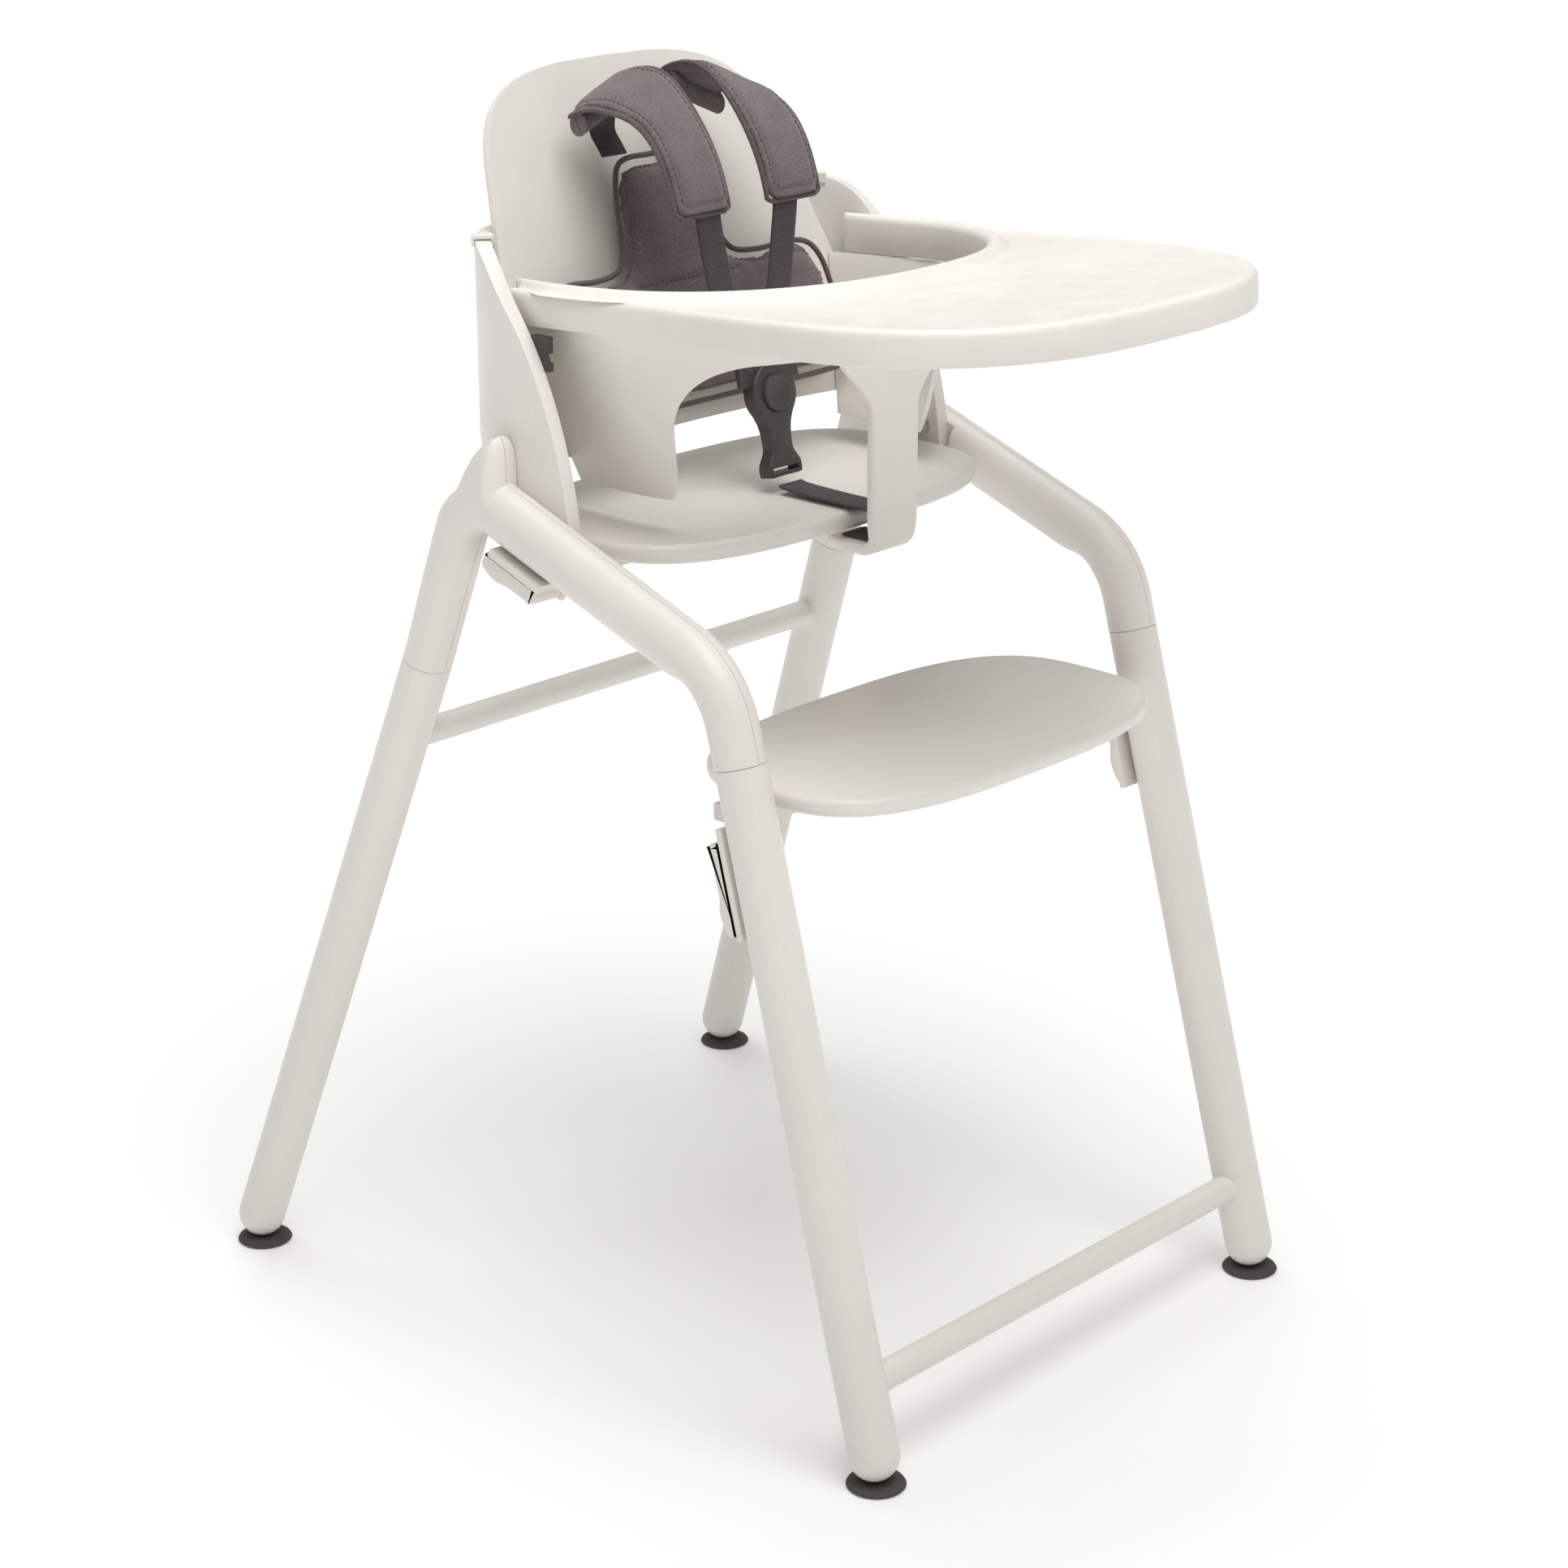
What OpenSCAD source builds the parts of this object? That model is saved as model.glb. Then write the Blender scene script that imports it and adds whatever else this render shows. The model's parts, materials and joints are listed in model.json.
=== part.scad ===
// Wooden baby high chair with a sliding seat, a sliding footrest, a baby set and a tray.
// Origin: middle of the footprint on the floor. +Z is up, the child faces -Y.
// "right" and "left" are the child's own sides: right is -X, left is +X.

/* [Legs] */
// Diameter of the round legs
leg_d = 36; // [34:0.5:37]
// Half the distance between the two front feet
front_foot_x = 218; // [212:1:224]
// Half the distance between the two rear feet
rear_foot_x = 261.6; // [255:1:266]
// Height of the floor end of each leg
leg_end_z = 4.5; // [4:0.5:6]
// Diameter of the floor glides
glide_d = 42; // [38:1:44]
// Diameter of the front crossbar
front_bar_d = 21; // [18:1:24]
// Diameter of the rear crossbar
rear_bar_d = 20; // [18:1:24]

/* [Bent side castings] */
// Distance of the slope arms from the middle plane
arm_x = 212; // [212:1:213]
// Rise of the slope arm for each millimetre of run
arm_slope = 0.367; // [0.36:0.001:0.375]
// How far the web hangs under the arm's own radius
arm_web = 5; // [4:0.5:6]
// How far the horn behind the back panel stands out of the bend
horn_h = 36; // [20:1:40]

/* [Back panel] */
// Half the outer width of the panel
panel_half_w = 201; // [200:0.5:201]
// Thickness of the bent plywood
panel_t = 11; // [9:1:11]
// Outer radius of the two upright bends
panel_r = 100; // [95:1:104]
// Rear face of the panel
panel_back_y = 167; // [166:1:172]
// Top of the panel
panel_top_z = 802; // [798:1:806]

/* [Seat and footrest] */
// Half the width of the seat board
seat_half_w = 182; // [178:1:184]
// Half the depth of the seat board
seat_half_d = 106; // [100:1:108]
// Height of the top of the seat board
seat_z = 610; // [609:1:612]
// Thickness of the seat board
seat_t = 14; // [12:1:14]
// Half the width of the footrest board
foot_half_w = 182; // [175:1:184]
// Half the depth of the footrest board
foot_half_d = 101; // [95:1:104]
// Height of the top of the footrest board
foot_z = 465; // [460:1:470]
// Thickness of the footrest board
foot_t = 13; // [12:1:14]

/* [Baby set and tray] */
// Top of the moulded shell
shell_top_z = 904; // [895:1:906]
// Wall thickness of the moulded parts
wall = 4; // [3:0.5:4]
// Half the width of the ring under the tray
ring_half_w = 172; // [168:1:174]
// Half the width of the crotch post
post_half_w = 24; // [22:1:28]
// Half the width of the tray
tray_half_w = 190; // [188:1:192]
// Front end of the tray
tray_front = 342; // [335:1:345]
// Height of the tray's side wall
tray_h = 24; // [22:1:26]

/* [Hidden] */
$fn = 48;

PAINT = [0.93, 0.92, 0.90];
PLASTIC = [0.90, 0.89, 0.86];
RUBBER = [0.25, 0.24, 0.24];
STEEL = [0.72, 0.72, 0.72];
FABRIC = [0.41, 0.36, 0.37];
WEBBING = [0.28, 0.25, 0.27];
BLACK = [0.20, 0.20, 0.20];

leg_r = leg_d / 2;
gap = 0.3;                      // clearance between neighbouring pieces

// Leg axes of the left side: floor end and seam with the casting
front_foot = [front_foot_x, -280, 22];
front_seam = [213.3, -153.9, 491];
rear_foot = [rear_foot_x, 320.3, 22];
rear_seam = [218.3, 149.4, 501.8];
dowel_d = 20;
dowel_len = 60;

// Slope arm in its side plane: its axis runs through (y, z) = (0, arm_z0)
arm_z0 = 600;
arm_angle = atan(arm_slope);
front_lean = atan((front_seam[1] - front_foot[1]) / (front_seam[2] - front_foot[2]));
rear_lean = atan((rear_foot[1] - rear_seam[1]) / (rear_seam[2] - rear_foot[2]));
front_bend_r = 70;
apex_bend_r = 34;
apex_x = 212.5;                 // where the rear leg's own splay meets the apex

// Outward normals of the three straight stretches, measured from +Y towards +Z
front_normal = 180 - front_lean;
arm_normal = 90 + arm_angle;
rear_normal = rear_lean;

function meet(p, slope_p, q_z0, q_slope) =
    // Crossing of the line y = p.y + slope_p (z - p.z) with the line z = q_z0 + q_slope y
    let (y = (p[0] + slope_p * (q_z0 - p[1])) / (1 - slope_p * q_slope)) [y, q_z0 + q_slope * y];

front_corner = meet([front_seam[1], front_seam[2]], tan(front_lean), arm_z0, arm_slope);
apex_corner = meet([rear_seam[1], rear_seam[2]], -tan(rear_lean), arm_z0, arm_slope);
arm_dir = [cos(arm_angle), sin(arm_angle)];
front_tangent = front_bend_r * tan((front_normal - arm_normal) / 2);
apex_tangent = apex_bend_r * tan((arm_normal - rear_normal) / 2);
front_bend_end = front_corner + front_tangent * arm_dir;
apex_bend_start = apex_corner - apex_tangent * arm_dir;
front_bend_c = front_bend_end - front_bend_r * [cos(arm_normal), sin(arm_normal)];
apex_bend_c = apex_bend_start - apex_bend_r * [cos(arm_normal), sin(arm_normal)];

function smooth(t) = let (u = min(1, max(0, t))) u * u * (3 - 2 * u);
function mix(a, b, t) = a + (b - a) * t;

// The horn stands up soon after the start of the apex bend and dies away along it
function horn(phi) = horn_h * smooth((phi - 5) / 10) * (1 - smooth((phi - 4) / 56));
function web(y) = arm_web * smooth((y + 128) / 30) * (1 - smooth((y - 80) / 22));

// One station of a casting: [x, y, z, normal angle, rise above the axis, drop below it]
function station(x, p, angle, up = 0, drop = 0) = [x, p[0], p[1], angle, leg_r + up, leg_r + drop];
arc_steps = 9;
arm_steps = 12;
rear_rise = 3;                  // the rear stub is a little deeper than a leg near the bend
casting_stations = concat(
    [station(front_seam[0], [front_seam[1], front_seam[2]], front_normal)],
    [for (i = [0:arc_steps])
        let (t = i / arc_steps, n = mix(front_normal, arm_normal, t))
        station(mix(front_seam[0], arm_x, t), front_bend_c + front_bend_r * [cos(n), sin(n)], n,
                0, web((front_bend_c + front_bend_r * [cos(n), sin(n)])[0]))],
    [for (i = [1:arm_steps - 1])
        let (p = mix(front_bend_end, apex_bend_start, 1 - pow(1 - i / arm_steps, 2)))
        station(arm_x, p, arm_normal, horn(-1.1 * norm(apex_bend_start - p)), web(p[0]))],
    [for (i = [0:2 * arc_steps])
        let (t = i / (2 * arc_steps), n = mix(arm_normal, rear_normal, t),
             p = apex_bend_c + apex_bend_r * [cos(n), sin(n)])
        station(mix(arm_x, apex_x, smooth(t)), p, n, horn(arm_normal - n) + rear_rise * smooth(2 * t - 1),
                web(p[0]))],
    [for (t = [0.25, 0.5, 0.75, 1])
        let (s = apex_bend_c + apex_bend_r * [cos(rear_normal), sin(rear_normal)],
             p = mix(s, [rear_seam[1], rear_seam[2]], t))
        station(mix(apex_x, rear_seam[0], t), p, rear_normal, rear_rise * (1 - smooth(t)))]
);

// Half of a round section: side = 1 is the outer half, side = -1 the inner half
section_steps = 12;
function section_point(s, a, side) =
    let (h = (s[4] + s[5]) / 2, mid = (s[4] - s[5]) / 2, o = mid + h * cos(a))
    [s[0] + side * leg_r * sin(a), s[1] + o * cos(s[3]), s[2] + o * sin(s[3])];
function half_rings(side) = [for (s = casting_stations) for (i = [0:section_steps])
    section_point(s, i * 180 / section_steps, side)];

module half_casting(side) {
    n = section_steps + 1;
    m = len(casting_stations);
    around = [for (j = [0:m - 2]) for (i = [0:n - 1])
        let (k = (i + 1) % n, quad = [j * n + i, j * n + k, (j + 1) * n + k, (j + 1) * n + i])
        side > 0 ? [quad[3], quad[2], quad[1], quad[0]] : quad];
    first = [for (i = [0:n - 1]) side > 0 ? i : n - 1 - i];
    last = [for (i = [0:n - 1]) (m - 1) * n + (side > 0 ? n - 1 - i : i)];
    polyhedron(half_rings(side), concat(around, [first, last]), convexity = 8);
}

// Places children with +Z running from a to b; local +X then leans towards the rear
module between(a, b) {
    d = b - a;
    translate(a) rotate([0, acos(d[2] / norm(d)), atan2(d[1], d[0])]) children();
}

// Frame of the slope arm: local +X runs up the slope, local +Z is its normal
module on_arm(x) {
    translate([x, 0, arm_z0]) rotate([arm_angle, 0, 0]) rotate([0, 0, 90]) children();
}

module right_side() {
    mirror([1, 0, 0]) children();
}

module both_sides() {
    children();
    mirror([1, 0, 0]) children();
}

module x_cylinder(d, x0, x1) {
    translate([x0, 0, 0]) rotate([0, 90, 0]) cylinder(d = d, h = x1 - x0);
}

// ---------- Floor glides, legs and crossbars ----------

glide_t = 4.5;
stem_d = 8;
stem_top = 20;

module one_glide(foot) {
    translate([foot[0], foot[1] - 2, 0]) {
        rotate_extrude() polygon([[0, 0], [glide_d / 2 - 1.5, 0], [glide_d / 2, 1.5],
            [glide_d / 2 - 1, 3], [glide_d / 2 - 7, glide_t - 0.1], [0, glide_t - 0.1]]);
        cylinder(d = stem_d, h = stem_top);
    }
}

module foot_glides() {
    color(RUBBER) both_sides() {
        one_glide(front_foot);
        one_glide(rear_foot);
    }
}

module leg(foot, seam, lean, bar_z, bar_d) {
    axis = seam - foot;
    at_bar = foot + axis * (bar_z - foot[2]) / axis[2];
    difference() {
        union() {
            between(foot, seam) cylinder(d = leg_d, h = norm(axis) + 4);
            translate(foot) sphere(d = leg_d);
        }
        translate([foot[0] - leg_d, foot[1] - leg_d, 0]) cube([2 * leg_d, 2 * leg_d, leg_end_z]);
        translate(seam) rotate([lean, 0, 0]) translate([-leg_d, -leg_d, -gap]) cube(2 * leg_d);
        translate([foot[0], foot[1] - 2, 0]) cylinder(d = stem_d + 0.2, h = stem_top + 1);
        translate([0, at_bar[1], bar_z]) x_cylinder(bar_d + 0.1, 0, at_bar[0] - 8);
        between(foot, seam) translate([0, 0, norm(axis) - dowel_len / 2 - 0.5])
            cylinder(d = dowel_d + 0.1, h = dowel_len);
        children();
    }
}

rail_len = 330;
rail_w = 8;
rail_t = 2.5;
rail_from_top = 18;
front_axis_len = norm(front_seam - front_foot);

// Cutter or solid of the steel strip let into the rear face of a front leg
module footrest_rail_shape(play) {
    between(front_foot, front_seam)
        translate([leg_r - rail_t - play - 0.4, -rail_w / 2 - play,
                   front_axis_len - rail_from_top - rail_len - play])
            cube([rail_t + play + (play > 0 ? 2 : 0), rail_w + 2 * play, rail_len + 2 * play]);
}

front_bar_z = 68.9;
rear_bar_z = 438.5;

module front_leg() {
    leg(front_foot, front_seam, -front_lean, front_bar_z, front_bar_d) footrest_rail_shape(0.1);
}

module rear_leg() {
    leg(rear_foot, rear_seam, rear_lean, rear_bar_z, rear_bar_d);
}

module front_leg_right() { color(PAINT) right_side() front_leg(); }
module front_leg_left() { color(PAINT) front_leg(); }
module rear_leg_right() { color(PAINT) right_side() rear_leg(); }
module rear_leg_left() { color(PAINT) rear_leg(); }

module crossbar(foot, seam, bar_z, bar_d) {
    at_bar = foot + (seam - foot) * (bar_z - foot[2]) / (seam[2] - foot[2]);
    half = at_bar[0] - 8.2;
    translate([0, at_bar[1], bar_z]) x_cylinder(bar_d, -half, half);
}

module front_crossbar() { color(PAINT) crossbar(front_foot, front_seam, front_bar_z, front_bar_d); }
module rear_crossbar() { color(PAINT) crossbar(rear_foot, rear_seam, rear_bar_z, rear_bar_d); }

// ---------- Side castings ----------

seat_rail_len = 190;
seat_rail_u = -105;             // lower end of the rail, along the slope

module seat_rail_shape(play) {
    on_arm(arm_x) translate([seat_rail_u - play, -rail_w / 2 - play,
                             -(leg_r + arm_web) + 0.4 - (play > 0 ? 2 : 0)])
        cube([seat_rail_len + 2 * play, rail_w + 2 * play, rail_t + play + (play > 0 ? 2 : 0)]);
}

screw_u = [-75, 5];
screw_d = 5;
screw_head_d = 9.5;
bolt_d = 6;
bolt_head_d = 13;
bolt_at = [[34, 618.5], [88, 652]];   // (y, z) of the two bolts of each side

module casting_cuts() {
    between(front_foot, front_seam) translate([0, 0, front_axis_len - dowel_len / 2])
        cylinder(d = dowel_d + 2 * gap, h = dowel_len);
    between(rear_foot, rear_seam)
        translate([0, 0, norm(rear_seam - rear_foot) - dowel_len / 2])
            cylinder(d = dowel_d + 2 * gap, h = dowel_len);
    seat_rail_shape(0.2);
    for (u = screw_u) on_arm(arm_x) translate([u, 0, 0]) rotate([-90, 0, 0])
        translate([0, 0, -leg_r + 5]) {
            cylinder(d = screw_d + 2 * gap, h = leg_r + 10);
            translate([0, 0, leg_r - 5 + 11]) cylinder(d = screw_head_d + 2 * gap, h = 12);
        }
    for (p = bolt_at) translate([0, p[0], p[1]]) x_cylinder(bolt_d + 2 * gap, 190, arm_x + 8);
}

panel_seat_y = 12;              // the inner shell is cut flat behind this line for the panel

module outer_casting() {
    difference() {
        half_casting(1);
        casting_cuts();
    }
}

module inner_casting() {
    difference() {
        translate([-0.1, 0, 0]) half_casting(-1);
        casting_cuts();
        translate([arm_x - 50, panel_seat_y, 597]) cube([50 - (arm_x - panel_half_w - gap), 200, 120]);
    }
}

module outer_casting_right() { color(PAINT) right_side() outer_casting(); }
module outer_casting_left() { color(PAINT) outer_casting(); }
module inner_casting_right() { color(PAINT) right_side() inner_casting(); }
module inner_casting_left() { color(PAINT) inner_casting(); }

module leg_dowels() {
    color("burlywood") both_sides() {
        between(front_foot, front_seam) translate([0, 0, front_axis_len - dowel_len / 2])
            cylinder(d = dowel_d, h = dowel_len - 1);
        between(rear_foot, rear_seam)
            translate([0, 0, norm(rear_seam - rear_foot) - dowel_len / 2])
                cylinder(d = dowel_d, h = dowel_len - 1);
    }
}

module casting_screws() {
    color(STEEL) both_sides() for (u = screw_u)
        on_arm(arm_x) translate([u, 0, 0]) rotate([-90, 0, 0]) {
            translate([0, 0, -leg_r + 6]) cylinder(d = screw_d, h = leg_r + 6);
            translate([0, 0, 11.5]) difference() {
                cylinder(d = screw_head_d, h = 3);
                translate([0, 0, 1.5]) cylinder(d = 4.6, h = 3, $fn = 6);
            }
        }
}

module seat_rails() { color(STEEL) both_sides() seat_rail_shape(0); }
module footrest_rails() { color(STEEL) both_sides() footrest_rail_shape(0); }

// ---------- Back panel ----------

function bezier(p, steps) = [for (i = [0:steps]) let (t = i / steps, s = 1 - t)
    s * s * s * p[0] + 3 * s * s * t * p[1] + 3 * s * t * t * p[2] + t * t * t * p[3]];

module u_plan(half_w, back_y, r) {
    translate([-half_w, -20]) square([2 * half_w, back_y - r + 20]);
    translate([-half_w + r, 0]) square([2 * (half_w - r), back_y]);
    for (x = [-half_w + r, half_w - r]) translate([x, back_y - r]) circle(r = r, $fn = 120);
}

panel_side = concat(
    bezier([[17, 600], [20, 665], [50, 733], [76, 762]], 14),
    bezier([[76, 762], [93, 782], [107, panel_top_z], [131, panel_top_z]], 10),
    [[200, panel_top_z], [200, 672]],
    bezier([[150, 672], [118, 672], [112, 634], [85, 626]], 8)
);

module back_panel() {
    color(PAINT) difference() {
        intersection() {
            translate([0, 0, 590]) linear_extrude(230) difference() {
                u_plan(panel_half_w, panel_back_y, panel_r);
                u_plan(panel_half_w - panel_t, panel_back_y - panel_t, panel_r - panel_t);
            }
            rotate([90, 0, 90]) translate([0, 0, -250]) linear_extrude(500) polygon(panel_side);
        }
        both_sides() for (p = bolt_at) translate([0, p[0], p[1]]) x_cylinder(bolt_d + 0.3, 150, 250);
    }
}

module panel_bolts() {
    inner = panel_half_w - panel_t;
    color(STEEL) both_sides() for (p = bolt_at) {
        reach = sqrt(pow(panel_r - panel_t, 2) - pow(max(0, p[0] + 7 - panel_back_y + panel_r), 2))
                - panel_r + panel_t;
        translate([0, p[0], p[1]]) difference() {
            union() {
                x_cylinder(bolt_d, inner + reach - 3, arm_x + 6);
                x_cylinder(bolt_head_d, inner + reach - 3.4, inner + reach - 0.2);
            }
            translate([inner + reach - 4, 0, 0]) rotate([0, 90, 0]) cylinder(d = 5.8, h = 2.6, $fn = 6);
        }
    }
}

clip_t = 5.3;                   // thin enough to clear the tray's arms

module ring_clips() {
    inner = panel_half_w - panel_t;
    color(BLACK) both_sides() difference() {
        translate([inner - clip_t, 47, 722]) cube([clip_t - 0.1, 16, 24]);
        translate([inner - clip_t - 2, 44, 729]) rotate([0, 20, 0]) cube([4, 22, 7]);
    }
}

hook_turn = 40;                 // place of the hooks round the upright bends

module panel_hooks() {
    mid_r = panel_r - panel_t / 2;
    color(PLASTIC) both_sides()
        translate([panel_half_w - panel_r, panel_back_y - panel_r, panel_top_z])
            rotate([0, 0, hook_turn]) difference() {
                translate([mid_r - 7.5, -6, -5]) cube([15, 12, 7.4]);
                translate([mid_r - panel_t / 2 - 0.7, -7, -6]) cube([panel_t + 1.2, 14, 6.2]);
            }
}

// ---------- Boards ----------

function oval(half_w, half_d, power, steps = 72) = [for (i = [0:steps - 1]) let (a = 360 * i / steps)
    [half_w * sign(cos(a)) * pow(abs(cos(a)), 2 / power),
     half_d * sign(sin(a)) * pow(abs(sin(a)), 2 / power)]];

board_screw_d = 4;
board_edge = 2.5;

// Board with a small step-down at both edges in place of a full round
module board(half_w, half_d, power, t) {
    linear_extrude(t) polygon(oval(half_w - board_edge, half_d - board_edge, power));
    translate([0, 0, board_edge]) linear_extrude(t - 2 * board_edge)
        polygon(oval(half_w, half_d, power));
}

seat_y = 35;
seat_under = seat_z - seat_t;
seat_power = 3.2;
beam_y = [20, 62];
beam_t = 14;
beam_half = 150;
seat_screw_x = [60, 135];
seat_screw_y = 41;
screw_rise = 8;                 // how far a board screw stands up inside the board

module seat_board() {
    color(PAINT) difference() {
        translate([0, seat_y, seat_under]) board(seat_half_w, seat_half_d, seat_power, seat_t);
        for (x = seat_screw_x) both_sides() translate([x, seat_screw_y, seat_under - 1])
            cylinder(d = board_screw_d + 0.1, h = screw_rise + 1.2);
        both_sides() translate([172, seat_screw_y, seat_under - 1])
            cylinder(d = board_screw_d + 0.1, h = screw_rise + 1.2);
    }
}

module seat_beam() {
    color(PLASTIC) difference() {
        translate([-beam_half, beam_y[0], seat_under - 0.1 - beam_t])
            cube([2 * beam_half, beam_y[1] - beam_y[0], beam_t]);
        translate([-beam_half + 8, beam_y[0] + 5, seat_under - beam_t - 1])
            cube([2 * beam_half - 16, beam_y[1] - beam_y[0] - 10, beam_t - 3]);
        for (x = seat_screw_x) both_sides() translate([x, seat_screw_y, seat_under - beam_t - 2])
            cylinder(d = board_screw_d + 0.4, h = beam_t + 4);
    }
}

carrier_u = [14, 66];
carrier_t = 6;
carrier_top = -(leg_r + arm_web) - 0.4;
lever_t = 13;
lever_slit = 1.5;
lever_top = carrier_top - carrier_t - lever_slit;
pin_u = 26;
pin_n = lever_top - lever_t / 2;
pin_d = 5;
lever_side = 12.5;              // half the width of a lever

module seat_carrier() {
    difference() {
        union() {
            on_arm(arm_x) {
                translate([carrier_u[0], -16, carrier_top - carrier_t])
                    cube([carrier_u[1] - carrier_u[0], 16 + 24, carrier_t]);
                translate([pin_u - 8, 14, pin_n - 7]) cube([16, 5, carrier_top - pin_n + 7]);
            }
            translate([beam_half + 0.4, 20, 579]) cube([40, 36, seat_under - 0.1 - 579]);
        }
        on_arm(arm_x) translate([pin_u, 0, pin_n]) rotate([-90, 0, 0]) cylinder(d = pin_d + 0.1, h = 60);
        translate([172, seat_screw_y, 570]) cylinder(d = board_screw_d + 0.4, h = 40);
    }
}

module seat_carrier_right() { color(PLASTIC) right_side() seat_carrier(); }
module seat_carrier_left() { color(PLASTIC) seat_carrier(); }

module seat_screws() {
    color(STEEL) both_sides() {
        for (x = seat_screw_x) translate([x, seat_screw_y, seat_under - 6]) {
            cylinder(d = board_screw_d, h = 6 + screw_rise);
            translate([0, 0, -1]) cylinder(d = 8, h = 2.8);
        }
        translate([172, seat_screw_y, 576.9]) {
            cylinder(d = board_screw_d, h = seat_under + screw_rise - 576.9);
            translate([0, 0, -0.9]) cylinder(d = 8, h = 2.8);
        }
    }
}

// Finger lever with a rounded toe, a pivot hole and a finger bump
module finger_lever(length, t, half_w, pivot) {
    difference() {
        union() {
            translate([t / 2, 0, 0]) rotate([90, 0, 0]) cylinder(d = t, h = 2 * half_w, center = true);
            translate([t / 2, -half_w, -t / 2]) cube([length - t / 2, 2 * half_w, t]);
            translate([length - 16, 0, -t / 2 + 1]) rotate([90, 0, 0])
                cylinder(d = 10, h = 2 * half_w - 6, center = true);
        }
        translate([pivot, 0, 0]) rotate([90, 0, 0]) cylinder(d = pin_d + 0.1, h = 60, center = true);
    }
}

module seat_lever() {
    on_arm(arm_x) translate([pin_u - lever_t / 2 - 2, 0, pin_n])
        finger_lever(56, lever_t, lever_side, lever_t / 2 + 2);
}

module seat_lever_right() { color(PLASTIC) right_side() seat_lever(); }
module seat_lever_left() { color(PLASTIC) seat_lever(); }

module seat_lever_pins() {
    color(STEEL) both_sides() on_arm(arm_x) translate([pin_u, -12, pin_n]) rotate([-90, 0, 0])
        cylinder(d = pin_d, h = 12 + 18.9);
}

// ---------- Footrest ----------

foot_y = -140;
foot_under = foot_z - foot_t;
foot_power = 3;
foot_carrier_len = 78;
foot_carrier_t = 5;
foot_lever_t = 9;
foot_lever_len = 66;
foot_pin_from_top = 16;
foot_screw = [160, -132];

// Frame of a front leg at the height of the board: +Z up the leg, +X to its rear
module on_front_leg() {
    top = front_foot + (front_seam - front_foot) * (foot_under - front_foot[2])
          / (front_seam[2] - front_foot[2]);
    translate(top) rotate([-front_lean, 0, 0]) rotate([0, 0, 90]) children();
}

foot_face = leg_r + 0.5;
foot_lever_x = foot_face + foot_carrier_t + lever_slit;

module footrest_board() {
    color(PAINT) difference() {
        translate([0, foot_y, foot_under]) board(foot_half_w, foot_half_d, foot_power, foot_t);
        both_sides() translate([foot_screw[0], foot_screw[1], foot_under - 1])
            cylinder(d = board_screw_d + 0.1, h = screw_rise);
    }
}

module footrest_carrier() {
    difference() {
        union() {
            on_front_leg() {
                translate([foot_face, -12, -foot_carrier_len]) cube([foot_carrier_t, 24 + 8, foot_carrier_len]);
                translate([foot_face, 15, -foot_pin_from_top - 8])
                    cube([foot_carrier_t + lever_slit + foot_lever_t, 5, 16]);
            }
            translate([145, -148, foot_under - 12]) cube([55, 32, 11.9]);
        }
        on_front_leg() translate([foot_lever_x + foot_lever_t / 2, 0, -foot_pin_from_top])
            rotate([-90, 0, 0]) cylinder(d = pin_d + 0.1, h = 40);
        translate([foot_screw[0], foot_screw[1], foot_under - 30]) cylinder(d = board_screw_d + 0.4, h = 40);
    }
}

module footrest_carrier_right() { color(PLASTIC) right_side() footrest_carrier(); }
module footrest_carrier_left() { color(PLASTIC) footrest_carrier(); }

module footrest_screws() {
    color(STEEL) both_sides() translate([foot_screw[0], foot_screw[1], foot_under - 14.9]) {
        cylinder(d = board_screw_d, h = 14.9 + screw_rise - 1.5);
        cylinder(d = 8, h = 2.8);
    }
}

module footrest_lever() {
    on_front_leg() translate([foot_lever_x + foot_lever_t / 2, 0, -foot_pin_from_top + 6.5])
        rotate([0, 90, 0]) mirror([0, 0, 1])
            finger_lever(foot_lever_len, foot_lever_t, lever_side - 1, 6.5);
}

module footrest_lever_right() { color(PLASTIC) right_side() footrest_lever(); }
module footrest_lever_left() { color(PLASTIC) footrest_lever(); }

module footrest_lever_pins() {
    color(STEEL) both_sides() on_front_leg()
        translate([foot_lever_x + foot_lever_t / 2, -11, -foot_pin_from_top])
            rotate([-90, 0, 0]) cylinder(d = pin_d, h = 11 + 19.9);
}

// ---------- Baby set: shell, ring and crotch post ----------

shell_y = 164;                  // front face of the shell at shell_mid_z, on the middle plane
shell_mid_z = 850;
shell_recline = 0.37;
shell_curve = 0.0006;
shell_half_w = 145;
shell_flare = 0.24;
shell_round_z = 832;            // the rounding of the top starts here
shell_bottom_z = 648;
shell_round_power = 3.4;

function shell_face(x, z) = shell_y + shell_recline * (z - shell_mid_z) - shell_curve * x * x;
function shell_w(z) = min(173, shell_half_w + shell_flare * (shell_mid_z - z))
    * pow(1 - pow(max(0, (z - shell_round_z) / (shell_top_z - shell_round_z)), shell_round_power),
          1 / shell_round_power);
shell_z = concat(
    [for (i = [0:8]) mix(shell_bottom_z, shell_round_z, i / 8)],
    [for (i = [1:9]) mix(shell_round_z, shell_top_z, sin(i * 90 / 9.2))]);
shell_cols = 16;

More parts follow.
